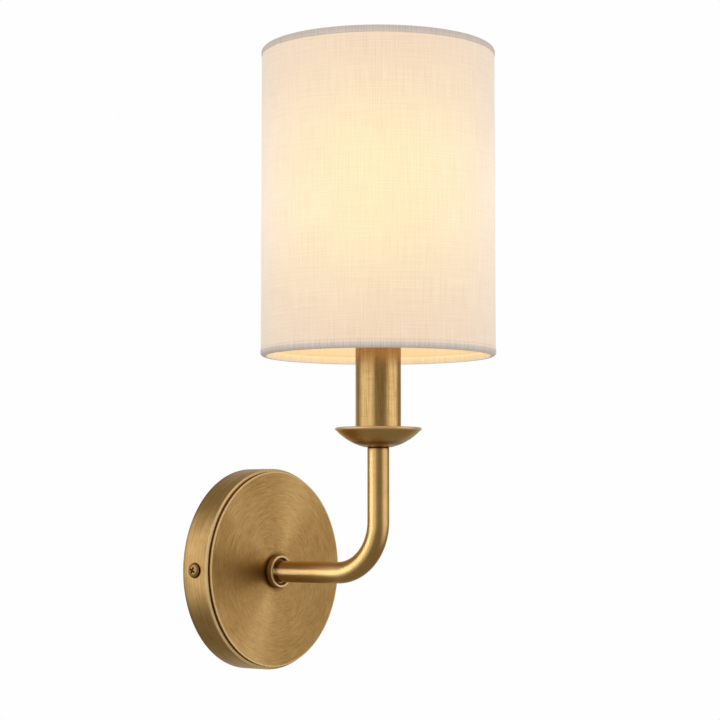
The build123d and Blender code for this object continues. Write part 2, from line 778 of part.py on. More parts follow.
def arm_point(turn, radius, level):
    """A point at this radius and level, turned about the lamp axis."""
    return (radius * cos(radians(turn)), radius * sin(radians(turn)) - arm_reach, level)


def carrier_arm(turn, radius):
    """A round wire arm: level under the washer, one bend, then straight down to the bottom ring."""
    with BuildPart() as wire_arm:
        with BuildLine() as arm_path:
            FilletPolyline(
                arm_point(turn, arm_start, carrier_arm_level),
                arm_point(turn, arm_flat_end, carrier_arm_level),
                arm_point(turn, wire_place, bottom_wire_level),
                radius=carrier_arm_bend,
            )
        outward = (cos(radians(turn)), sin(radians(turn)), 0)
        with BuildSketch(Plane(origin=arm_point(turn, arm_start, carrier_arm_level), z_dir=outward)):
            Circle(radius)
        sweep(path=arm_path.line)
    return wire_arm.part


with BuildPart() as carrier_arms:
    add([carrier_arm(turn, carrier_arm_radius) for turn in carrier_turns])
    with BuildSketch(lamp_section):
        with Locations((wire_place, bottom_wire_level)):
            Circle(ring_wire_radius + weld_gap)
    revolve(axis=lamp_axis, mode=Mode.SUBTRACT)
save(carrier_arms.part, "carrier_arms")

# ---- shade_liner: stiff translucent backing between the two wire rings ----
liner_bottom = bottom_wire_level + hem_radius + glue_gap
liner_top = top_wire_level - hem_radius - glue_gap
with BuildPart() as shade_liner:
    with BuildSketch(at_level(liner_bottom)):
        Circle(liner_radius)
        Circle(liner_radius - liner_thickness, mode=Mode.SUBTRACT)
    extrude(amount=liner_top - liner_bottom)
save(shade_liner.part, "shade_liner")

# ---- shade_fabric: straight drum cover, each end rolled round its wire, slit for the carrier's arms ----
with BuildPart() as shade_fabric:
    with BuildSketch(lamp_section):
        with Locations(((fabric_inner_radius + shade_radius) / 2, (bottom_wire_level + top_wire_level) / 2)):
            Rectangle(fabric_thickness, top_wire_level - bottom_wire_level)
        with Locations((wire_place, bottom_wire_level), (wire_place, top_wire_level)):
            Circle(hem_radius)
            Circle(ring_wire_radius + glue_gap, mode=Mode.SUBTRACT)
    revolve(axis=lamp_axis)
    slits = [carrier_arm(turn, carrier_arm_radius + carrier_slit_clearance) for turn in carrier_turns]
    add(slits, mode=Mode.SUBTRACT)
save(shade_fabric.part, "shade_fabric")

# ---- bulb_contact, bulb_insulator and bulb_cap: the bulb's screw base ----
insulator_bottom = bulb_bottom + bulb_contact_height
with BuildPart() as bulb_contact:
    with BuildSketch(at_level(bulb_bottom)):
        Circle(bulb_contact_radius)
    extrude(amount=bulb_contact_height)
    solder_edge = bulb_contact.edges().filter_by(GeomType.CIRCLE).sort_by(Axis.Z)[0]
    fillet(solder_edge, bulb_contact_height * dome_share)
save(bulb_contact.part, "bulb_contact")

with BuildPart() as bulb_insulator:
    with BuildSketch(at_level(insulator_bottom)):
        Circle(insulator_tip_radius)
    with BuildSketch(at_level(cap_bottom)):
        Circle(cap_radius - cap_wall)
    loft()
save(bulb_insulator.part, "bulb_insulator")

with BuildPart() as bulb_cap:
    with BuildSketch(at_level(cap_bottom)):
        Circle(cap_radius)
        Circle(cap_radius - cap_wall, mode=Mode.SUBTRACT)
    extrude(amount=cap_length)
    with BuildSketch(at_level(cap_bottom)):
        Circle(cap_radius)
    extrude(amount=cap_wall)
    with BuildSketch(lamp_section):
        with BuildLine():
            Polyline(
                (cap_radius - cap_wall, cap_top - cap_wall),
                (cap_radius, cap_top - cap_wall),
                (cap_skirt_radius, cap_top + cap_skirt_length / 2),
                (cap_skirt_radius, glass_bottom),
                (cap_skirt_radius - cap_wall, glass_bottom),
                (cap_skirt_radius - cap_wall, cap_top + cap_skirt_length / 2),
                close=True,
            )
        make_face()
    revolve(axis=lamp_axis)
save(bulb_cap.part, "bulb_cap")


def candle_outline(inset):
    """The bulb's section from neck to tip, drawn in by this much: a spline that ends level on the axis."""
    with BuildLine() as outline:
        glass = Spline(
            (glass_neck_radius - inset, glass_bottom),
            (bulb_radius - inset, glass_bottom + bulb_widest),
            (bulb_shoulder_radius - inset, glass_bottom + bulb_glass_height - bulb_shoulder_drop),
            (0, glass_bottom + bulb_glass_height - inset),
            tangents=((bulb_neck_flare, 1), (-1, 0)),
        )
        Line(glass @ 1, (0, glass_bottom))
        Line((0, glass_bottom), glass @ 0)
    return outline.line


# ---- bulb_glass: candle-shaped envelope, open at the neck ----
with BuildPart() as bulb_glass:
    with BuildSketch(lamp_section):
        make_face(candle_outline(0).edges())
        make_face(candle_outline(bulb_glass_wall).edges(), mode=Mode.SUBTRACT)
    revolve(axis=lamp_axis)
save(bulb_glass.part, "bulb_glass")

# ---- bulb_stem: glass foot in the neck, with a mast and two star wheels that carry the filaments ----
stem_radius = glass_neck_radius - bulb_glass_wall - glass_seal_gap
lower_star = glass_bottom + stem_height
upper_star = lower_star + star_thickness + filament_length
with BuildPart() as bulb_stem:
    with BuildSketch(at_level(glass_bottom)):
        Circle(stem_radius)
    with BuildSketch(at_level(lower_star)):
        Circle(stem_tip_radius)
    loft()
    with BuildSketch(at_level(lower_star - star_thickness)):
        Circle(mast_radius)
    extrude(amount=upper_star - lower_star + 2 * star_thickness)
    for star_level in (lower_star, upper_star):
        with BuildSketch(at_level(star_level)):
            for turn in range(filament_count // 2):
                Rectangle(2 * star_radius, 2 * filament_radius, rotation=turn * 360 / filament_count)
        extrude(amount=star_thickness)
save(bulb_stem.part, "bulb_stem")

# ---- led_filaments: upright sticks between the star wheels ----
with BuildPart() as led_filaments:
    with BuildSketch(at_level(lower_star + star_thickness)):
        with PolarLocations(star_radius - filament_radius, filament_count):
            Circle(filament_radius)
    extrude(amount=filament_length)
save(led_filaments.part, "led_filaments")


def wire_along(corners, bends):
    """An insulated wire in straight runs and tangent arcs, starting down out of the terminal block."""
    with BuildPart() as wire:
        with BuildLine() as route:
            FilletPolyline(*corners, radius=bends)
        with BuildSketch(Plane(origin=corners[0], z_dir=(0, 0, -1))):
            Circle(lead_radius)
        sweep(path=route.line)
    length = sum(edge.length for edge in route.edges())
    ratio = wire.part.volume / (pi * lead_radius**2 * length)
    print("lead", round(length, 1), "mm long, volume over section times length", round(ratio, 4))
    return wire.part


block_end = block_bottom + (block_height - insert_length) / 2 + lead_insertion


def arm_lead(pole, side):
    """A lead from this pole's place through the arm's bore to a lampholder hole on the given side."""
    inside = side * lead_spread
    corners = (
        (pole, -pole_axis_depth, block_end),
        (pole, -pole_axis_depth, lead_drop),
        (inside, lead_turn_back - pole_axis_depth, -arm_drop),
        (inside, -arm_reach, -arm_drop),
        (inside, -arm_reach, holder_nut_top + lead_drop),
        (side * lead_hole_offset, -arm_reach, neck_bottom - lead_drop),
        (side * lead_hole_offset, -arm_reach, neck_bottom + lead_hole_depth - thread_clearance),
    )
    bends = (lead_entry_bend, lead_turn_radius, arm_bend_radius, lead_gentle_bend, lead_gentle_bend)
    return wire_along(corners, bends)


# ---- live_lead and neutral_lead: from the middle and right poles through the arm ----
save(arm_lead(pole_places[1], -1), "live_lead")
save(arm_lead(pole_places[2], 1), "neutral_lead")

# ---- earth_lead: from the left pole down into the earth tag's barrel ----
earth_corners = (
    (pole_places[0], -pole_axis_depth, block_end),
    (pole_places[0], -pole_axis_depth, lead_drop),
    (earth_x, -barrel_depth, barrel_bottom_level + earth_barrel_length + lead_drop),
    (earth_x, -barrel_depth, barrel_bottom_level + thread_clearance),
)
save(wire_along(earth_corners, (lead_entry_bend, lead_entry_bend)), "earth_lead")
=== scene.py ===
"""Wall light with a linen drum shade, dressed around its construction model.

Every new surface is a grid of points worked out with numpy: a profile carried round an axis or along a
path, or a height given over a grid. Lengths are in metres, in the frame of the construction model: the
origin is the centre of the canopy on the wall, the light stands out towards -Y, and +Z is up.
"""

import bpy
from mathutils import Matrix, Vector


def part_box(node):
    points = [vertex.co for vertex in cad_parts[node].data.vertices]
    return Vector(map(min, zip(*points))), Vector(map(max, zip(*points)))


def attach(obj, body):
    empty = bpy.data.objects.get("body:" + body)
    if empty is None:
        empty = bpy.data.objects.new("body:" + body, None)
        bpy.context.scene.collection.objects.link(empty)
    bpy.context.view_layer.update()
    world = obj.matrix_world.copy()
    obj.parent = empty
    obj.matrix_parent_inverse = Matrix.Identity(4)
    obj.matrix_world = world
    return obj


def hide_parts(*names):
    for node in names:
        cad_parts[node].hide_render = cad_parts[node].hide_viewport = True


bl_info = {
    "name": "Drum shade wall light",
    "version": (1, 0, 0),
    "blender": (4, 5, 0),
    "location": "View3D > Sidebar > Wall Light",
    "description": "Dresses a wall light: linen drum shade, aged brass, bulb, fittings and studio",
    "category": "Object",
}

from math import pi, radians

import bpy
import bmesh
import numpy as np
from mathutils import Vector

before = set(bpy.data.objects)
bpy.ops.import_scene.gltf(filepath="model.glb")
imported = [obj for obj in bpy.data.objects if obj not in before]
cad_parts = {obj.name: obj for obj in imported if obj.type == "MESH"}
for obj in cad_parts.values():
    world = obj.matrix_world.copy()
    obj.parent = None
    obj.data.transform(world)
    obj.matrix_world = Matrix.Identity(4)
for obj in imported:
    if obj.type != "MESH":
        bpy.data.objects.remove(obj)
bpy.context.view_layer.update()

MM = 0.001
TURN = 2 * pi
ROUND = 192  # steps round a large turned piece
ROUND_SMALL = 96  # steps round a small one
SHADE_STEPS = 3 * ROUND_SMALL
BORE = 5.25 * MM  # radius of the holes for the nipples
SCREW_HEAD, SCREW_SHADOW_END = 4.2 * MM, 4.9 * MM  # painted shadow and dirt round a side screw head: where it starts and where it ends
LIT_MIDDLE = (0, -0.07, 0.12)  # what the studio's lamps are turned towards

# Painted highlight fans on the face disc, for the reflections of its brushing: degrees anticlockwise from
# +X, width in degrees and weight.
HIGHLIGHT_FANS = ((68, 17, 0.29), (246, 17, 0.30), (135, 15, 0.14))

# Softboxes round the light: degrees anticlockwise from the camera's side, degrees up, inner and outer
# half-angles of their cones, and strength.
SOFTBOXES = (
    (-68, 10, 24, 54, 0.72),
    (75, 6, 12, 44, 0.80),
    (180, 0, 20, 50, 0.3),
    (60, 62, 10, 34, 0.6),
    (-35, 72, 8, 26, 0.35),
)


# ---- places read from the frame ----
def low(node):
    """A node's lowest corner, as an array."""
    return np.array(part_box(node)[0])


def high(node):
    """A node's highest corner, as an array."""
    return np.array(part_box(node)[1])


def middle(node):
    """The middle of a node's box, as an array."""
    return (low(node) + high(node)) / 2


def radius_of(node):
    """Half of a node's width along X."""
    return (high(node)[0] - low(node)[0]) / 2


LAMP = np.array([0.0, middle("candle_sleeve")[1], 0.0])
ARM_LEVEL = middle("arm_collar")[2]
UP = np.array([0.0, 0.0, 1.0])
OUT = np.array([0.0, -1.0, 0.0])
SIDE = np.array([1.0, 0.0, 0.0])


# ---- grids of points ----
def outline(corners, step=1.0 * MM, arc_steps=7, closed=True):
    """Points along straight runs joined by tangent arcs.

    Each corner is (radius, height, rounding). Its arc starts and ends where the two runs leave it, at
    rounding over the tangent of half the angle between them. Runs are divided into equal parts no longer
    than step, and each arc has a guard point a tenth of a step before and after it, which keeps the flats
    flat. Points are worked out as complex numbers, so that a turn is a product.
    """
    corners = [(*corner, 0.0)[:3] for corner in corners]
    points = [complex(*corner[:2]) for corner in corners]
    last = len(points) - 1
    pieces = []
    for index, (here, corner) in enumerate(zip(points, corners)):
        rounding = corner[2]
        if rounding == 0 or (not closed and index in (0, last)):
            pieces.append([here])
            continue
        before, after = points[index - 1] - here, points[(index + 1) % len(points)] - here
        shortest = min(abs(before), abs(after))
        before, after = before / abs(before), after / abs(after)
        half = np.arccos(np.clip((before.conjugate() * after).real, -1, 1)) / 2
        reach = min(rounding / np.tan(half), 0.49 * shortest)
        bisector = (before + after) / abs(before + after)
        centre = here + bisector * reach / np.cos(half)
        start, end = here + before * reach, here + after * reach
        turn = np.angle((end - centre) / (start - centre))
        arc = centre + (start - centre) * np.exp(1j * np.linspace(0, turn, arc_steps))
        guard = min(step / 10, 0.3 * reach)
        pieces.append([start + before * guard, *arc, end + after * guard])
    line = []
    for index, points in enumerate(pieces):
        line.extend(points)
        if closed or index < last:
            gap = pieces[(index + 1) % len(pieces)][0] - points[-1]
            parts = int(np.ceil(abs(gap) / step))
            line.extend(points[-1] + gap * np.linspace(0, 1, parts + 1)[1:-1])
    return np.stack([np.real(line), np.imag(line)], 1)


def circle(steps):
    """The angles of so many even steps round a circle."""
    return np.linspace(0, TURN, steps, endpoint=False)


def turned(profile, origin, axis, steps):
    """A grid of points: each profile point (radius, height) goes round the axis through origin.

    The point at angle a is origin + height times the axis + radius times (cos a times one side
    direction + sin a times the other).
    """
    angles = circle(steps)
    spokes = np.cos(angles)[:, None] * SIDE + np.sin(angles)[:, None] * np.cross(axis, SIDE)
    return origin + profile[:, 1, None, None] * axis + profile[:, 0, None, None] * spokes


def brush_marks(reach, steps):
    """The brush attribute: (cosine, sine) round the piece and the way along its outline."""
    angles = circle(steps)
    return np.stack(np.broadcast_arrays(np.cos(angles), np.sin(angles), reach[:, None]), -1)


def lathe(name, profile, origin, axis, steps, age_and_painted_light, move=None, tone_and_highlight=0.0):
    """A closed turned piece of (radius, height) points, with its brush, age and tone attributes.

    age is a grid, or a row of numbers, one for each profile point, that a slow ripple round the piece
    varies by a fifth. move is one shift for each profile point, for a piece with a hole off its centre.
    tone is a number or a grid of extra tarnish, lowered where a highlight is painted.
    """
    grid = turned(profile, origin, axis, steps)
    if move is not None:
        grid = grid + move[:, None]
    if age_and_painted_light.ndim == 1:
        age_and_painted_light = age_and_painted_light[:, None] * (1 + 0.2 * ripple(circle(steps), len(name), longest=TURN))
    layers = {"brush": brush_marks(lengths_along(profile), steps), "age_and_painted_light": age_and_painted_light, "tone_and_highlight": tone_and_highlight}
    return mesh_from(name, grid, round_rows=True, layers=layers)


def lobe(angles, degrees, width):
    """One at an angle and falling smoothly to nothing over about the width on both sides, in degrees."""
    return np.exp(-((((angles - radians(degrees) + pi) % TURN - pi) / radians(width)) ** 2))


def near(values, place, width):
    """One at the place, falling smoothly to nothing over about the width on both sides."""
    return np.exp(-(((values - place) / width) ** 2))


def ramp(values, width):
    """Nothing up to zero, rising evenly to one at the width, and one beyond it."""
    return np.clip(values / width, 0, 1)


def lengths_along(line):
    """The distance from the line's first point to each of its points."""
    steps = np.linalg.norm(np.diff(line, axis=0), axis=1)
    return np.concatenate([[0], np.cumsum(steps)])


def directions(line):
    """A unit vector along the line at each of its points."""
    tangent = np.gradient(line, axis=0)
    return tangent / np.linalg.norm(tangent, axis=1)[:, None]


def outward(angles):
    """A unit vector away from the lamp's axis at each angle."""
    return np.stack([np.cos(angles), np.sin(angles), 0 * angles], -1)


def cloth_grid(lengths, radius, steps):
    """The cloth's (u, v) in metres: u goes round the shade, and v is the length given for each row."""
    u = np.linspace(0, TURN * radius, steps + 1)
    return np.stack(np.broadcast_arrays(u[None], lengths[:, None]), -1)


def ripple(values, seed, waves=7, longest=1.0, power=0.8):
    """A smooth uneven line between about -1 and 1: a sum of sines whose strength falls with frequency."""
    random = np.random.default_rng(seed)
    total = np.zeros_like(values)
    for wave in range(1, waves + 1):
        total += np.sin(TURN * wave * values / longest + random.uniform(0, TURN)) / wave**power
    return total / np.sqrt(waves)


# ---- meshes and pieces ----
def mesh_from(name, grid, round_rows=False, uv=None, layers=None):
    """A mesh of quads through a grid of points, whose columns go round and whose rows may do so too.

    uv is a grid of (u, v) in metres, one row or column longer where the grid goes round. layers maps an
    attribute's name to a number, a grid of numbers or a grid of vectors. Points that fall together, as at
    a pole, are merged. The quads are turned so that their normals point out of the closed volume.
    """
    rows, columns = grid.shape[:2]
    index = np.arange(rows * columns).reshape(rows, columns)
    if round_rows:
        index = np.vstack([index, index[:1]])
    index = np.hstack([index, index[:, :1]])
    corner_slices = ((0, 0), (1, 0), (1, 1), (0, 1))
    tall, wide = index.shape[0] - 1, index.shape[1] - 1
    quads = np.stack([index[i : tall + i, j : wide + j] for i, j in corner_slices], -1).reshape(-1, 4)
    points = grid.reshape(-1, 3)
    heart = points.mean(0)
    a, b, c, d = (points[quads[:, k]] - heart for k in range(4))
    volume = (np.cross(a, b) * c).sum() + (np.cross(a, c) * d).sum()
    order = [0, 1, 2, 3] if volume > 0 else [3, 2, 1, 0]
    mesh = bpy.data.meshes.new(name)
    mesh.vertices.add(len(points))
    mesh.vertices.foreach_set("co", points.ravel())
    mesh.loops.add(quads.size)
    mesh.loops.foreach_set("vertex_index", quads[:, order].ravel())
    mesh.polygons.add(len(quads))
    mesh.polygons.foreach_set("loop_start", np.arange(0, quads.size, 4))
    mesh.update(calc_edges=True)
    if uv is not None:
        corners = np.stack([uv[i : tall + i, j : wide + j] for i, j in corner_slices], -2)
        corners = corners.reshape(-1, 4, 2)[:, order]
        mesh.uv_layers.new(name="Cloth").data.foreach_set("uv", corners.ravel())
    for layer, numbers in (layers or {}).items():
        numbers = np.asarray(numbers, float)
        vector = numbers.ndim == 3
        values = numbers if vector else np.broadcast_to(numbers, (rows, columns))
        made = mesh.attributes.new(layer, "FLOAT_VECTOR" if vector else "FLOAT", "POINT")
        made.data.foreach_set("vector" if vector else "value", values.ravel())
    merge_doubles(mesh)
    mesh.polygons.foreach_set("use_smooth", np.ones(len(mesh.polygons), bool))
    mesh.update()
    return mesh


def merge_doubles(mesh):
    """Weld points that lie on each other."""
    work = bmesh.new()
    work.from_mesh(mesh)
    bmesh.ops.remove_doubles(work, verts=work.verts, dist=1e-7)
    work.to_mesh(mesh)
    work.free()


def joined(name, meshes):
    """One mesh made of several, each a separate closed surface in it."""
    work = bmesh.new()
    for mesh in meshes:
        work.from_mesh(mesh)
        bpy.data.meshes.remove(mesh)
    result = bpy.data.meshes.new(name)
    work.to_mesh(result)
    work.free()
    return result


def piece(name, mesh, body, material, replaces=()):
    """A new piece that rides on a body, takes a finish and may stand for CAD nodes."""
    thing = bpy.data.objects.new(name, mesh)
    bpy.context.scene.collection.objects.link(thing)
    mesh.materials.clear()
    mesh.materials.append(material)
    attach(thing, body)
    if replaces:
        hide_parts(*replaces)
    return thing


def brass_piece(name, mesh, material, node):
    """A new brass piece of the fixture that stands for a CAD node."""
    return piece(name, mesh, "fixture", material, [node])


def dress(node, material):
    """Give a CAD node a finish."""
    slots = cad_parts[node].material_slots
    for slot in slots:
        slot.link = "OBJECT"
        slot.material = material
    if not slots:
        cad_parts[node].data.materials.append(material)


# ---- shader nodes ----
def new_material(name):
    """An empty node material, and its tree."""
    old = bpy.data.materials.get(name)
    if old:
        bpy.data.materials.remove(old)
    material = bpy.data.materials.new(name)
    material.use_nodes = True
    material.node_tree.nodes.clear()
    return material, material.node_tree


def put(tree, kind, inputs=None, **settings):
    """Add a node. inputs maps a socket's name or number to a value or to another node's output."""
    made = tree.nodes.new(kind)
    for key, value in settings.items():
        setattr(made, key, value)
    for key, value in (inputs or {}).items():
        socket = made.inputs[key]
        if isinstance(value, bpy.types.NodeSocket):
            tree.links.new(value, socket)
        else:
            socket.default_value = value
    return made


def own_place(tree):
    """The place in the object's own coordinates."""
    return put(tree, "ShaderNodeTexCoord").outputs["Object"]


def attribute(tree, name):
    """The number that a mesh attribute gives."""
    return put(tree, "ShaderNodeAttribute", attribute_name=name).outputs["Fac"]


def sums(tree, operation, *values, clamp=False):
    """A Math node's output."""
    made = put(tree, "ShaderNodeMath", dict(enumerate(values)), operation=operation, use_clamp=clamp)
    return made.outputs[0]


def plus(tree, first, second, clamp=False):
    """The sum of two values."""
    return sums(tree, "ADD", first, second, clamp=clamp)


def times(tree, first, second, clamp=False):
    """The product of two values."""
    return sums(tree, "MULTIPLY", first, second, clamp=clamp)


def fused(tree, value, factor, more, clamp=False):
    """A value times a factor, plus more."""
    return sums(tree, "MULTIPLY_ADD", value, factor, more, clamp=clamp)


def vectors(tree, operation, *values, output=0):
    """A Vector Math node's output."""
    made = put(tree, "ShaderNodeVectorMath", dict(enumerate(values)), operation=operation)
    return made.outputs[output]


def noise(tree, vector, scale, detail=3.0, roughness=0.55):
    """A Noise Texture's value."""
    inputs = {"Vector": vector, "Scale": scale, "Detail": detail, "Roughness": roughness}
    return put(tree, "ShaderNodeTexNoise", inputs).outputs["Fac"]


def spread(tree, value, low_in, high_in, low_out=0.0, high_out=1.0):
    """A value moved from one range to another, smoothly and without leaving it."""
    inputs = {"Value": value, 1: low_in, 2: high_in, 3: low_out, 4: high_out}
    return put(tree, "ShaderNodeMapRange", inputs, interpolation_type="SMOOTHSTEP").outputs[0]


def blended(tree, share, first, second):
    """A colour between two others."""
    made = put(tree, "ShaderNodeMix", {0: share, 6: first, 7: second}, data_type="RGBA")
    return made.outputs[2]


def bumped(tree, height, strength, distance):
    """A normal that follows a height."""
    inputs = {"Strength": strength, "Distance": distance, "Height": height}
    return put(tree, "ShaderNodeBump", inputs).outputs[0]


def finished(tree, shader):
    """Link a shader to the material's output."""
    put(tree, "ShaderNodeOutputMaterial", {"Surface": shader})


def principled(tree, inputs):
    """End the tree with a Principled shader."""
    finished(tree, put(tree, "ShaderNodeBsdfPrincipled", inputs).outputs[0])


def colour(values):
    """A property's colour with full alpha."""
    return (*values[:3], 1.0)


def settings():
    """All the sizes and colours that a user may change."""
    return bpy.context.scene.wall_light


# ---- brass ----
def brass_material(
    name, marks_along, marks_round, brushing, patina, streaks=0, shine=None, lift=0, spin=None, ring=()
):
    """Aged, brushed brass.

    The brush marks are noise read at the piece's brush attribute: (cosine, sine) of the place round the
    piece times marks_round, and the way along its outline times marks_along. brushing is how strong they
    are. Streaks run the other way. patina is the strength of two cloudy noises on the object's own
    coordinates. The tone attribute adds tarnish, lowered where a highlight is painted, and lift takes it
    away. The age attribute lightens edges above zero, for wear and painted highlights, and darkens below
    zero, for patina in recesses and for painted shadows and dark reflections. shine is a roughness in
    place of the setting's. spin is the centre of a face whose circular brushing also stretches its
    highlights. ring holds the middles of screw heads, round which a painted shadow and dirt darken the
    metal.
    """
    s = settings().brass
    material, tree = new_material(name)
    place = own_place(tree)
    brush = put(tree, "ShaderNodeAttribute", attribute_name="brush").outputs["Vector"]
    age_and_painted_light = attribute(tree, "age_and_painted_light")

    def marks(round_scale, along_scale, detail):
        across = marks_round * round_scale
        scaled = vectors(tree, "MULTIPLY", brush, (across, across, marks_along * along_scale))
        return fused(tree, noise(tree, scaled, 1.0, detail, 0.65), 2.0, -1.0)

    coarse_marks = marks(1.0, 1.0, 4.0)
    fine_marks = marks(3.0, 3.4, 2.0)
    streak_marks = marks(13.0, 0.02, 3.0)
    broad = noise(tree, place, 34.0, 4.0, 0.6)
    blotch = noise(tree, place, 160.0, 5.0, 0.62)
    tarnish = attribute(tree, "tone_and_highlight")
    for layer, weight in (
        (spread(tree, broad, 0.38, 0.68), 0.30 * patina),
        (spread(tree, blotch, 0.42, 0.72), 0.18 * patina),
        (coarse_marks, 1.1 * brushing),
        (fine_marks, 0.6 * brushing),
        (streak_marks, streaks),
    ):
        tarnish = fused(tree, layer, weight, tarnish)
    recess = times(tree, sums(tree, "MINIMUM", age_and_painted_light, 0.0), -1.0)
    # Painted shadow and dirt: the metal darkens in a ring round each screw head.
    for head in ring:
        away = vectors(tree, "DISTANCE", place, head, output=1)
        recess = plus(tree, recess, spread(tree, away, SCREW_HEAD, SCREW_SHADOW_END, 1.3, 0.0))
    # Above zero the age attribute lightens an edge and makes it less metallic: wear, and painted
    # highlights.
    worn_and_highlight = sums(tree, "MAXIMUM", age_and_painted_light, 0.0)
    tarnish = plus(tree, sums(tree, "SUBTRACT", tarnish, lift), recess, clamp=True)
    base = blended(tree, tarnish, colour(s.bright), colour(s.aged))
    base = blended(tree, times(tree, recess, 0.85, clamp=True), base, colour(s.recess))
    base = blended(tree, times(tree, worn_and_highlight, 0.8, clamp=True), base, colour(s.worn_and_highlight))
    rough = s.roughness if shine is None else shine
    rough = fused(tree, coarse_marks, 0.12 * brushing, rough - 0.04)
    depth = plus(tree, coarse_marks, fine_marks)
    inputs = {
        "Base Color": base,
        "Metallic": fused(tree, sums(tree, "MINIMUM", worn_and_highlight, 1.0), -0.5, 1.0),
        "Roughness": fused(tree, blotch, 0.08, rough, clamp=True),
        "Normal": bumped(tree, depth, 0.3 * brushing + 0.1, 0.015 * MM),
    }
    if spin is not None:
        local = vectors(tree, "SUBTRACT", place, tuple(spin))
        inputs["Tangent"] = vectors(tree, "NORMALIZE", vectors(tree, "CROSS_PRODUCT", tuple(OUT), local))
        inputs["Anisotropic"] = s.anisotropy
    principled(tree, inputs)
    return material


# ---- fittings and wiring ----
def metal_material(name, tint, roughness):
    """Plain plated metal: a fine cloudy grain in colour, roughness and bump."""
    grain, dark = 400.0, 0.75
    material, tree = new_material(name)
    place = own_place(tree)
    cloud = noise(tree, place, grain, 4.0, 0.6)
    drift = noise(tree, place, grain / 8, 3.0, 0.5)
    shade = spread(tree, plus(tree, times(tree, cloud, 0.5), times(tree, drift, 0.5)), 0.35, 0.65)
    inputs = {
        "Base Color": blended(tree, shade, (*(dark * c for c in tint), 1.0), (*tint, 1.0)),
        "Metallic": 1.0,
        "Roughness": fused(tree, cloud, 0.2, roughness - 0.1),
        "Normal": bumped(tree, cloud, 0.15, 0.03 * MM),
    }
    principled(tree, inputs)
    return material


def moulded_material(name, tint, roughness, grain=1200.0, weight=0.06):
    """Moulded or coated stuff: a faint mottle, orange-peel bump and uneven gloss."""
    material, tree = new_material(name)
    place = own_place(tree)
    mottle = noise(tree, place, grain / 12, 4.0, 0.6)
    peel = noise(tree, place, grain, 2.0, 0.5)
    darker = (*((1 - 2 * weight) * c for c in tint), 1.0)
    inputs = {
        "Base Color": blended(tree, spread(tree, mottle, 0.35, 0.7), (*tint, 1.0), darker),
        "Roughness": fused(tree, mottle, 0.2, roughness - 0.1),
        "Normal": bumped(tree, peel, 0.12, 0.05 * MM),
    }
    principled(tree, inputs)
    return material


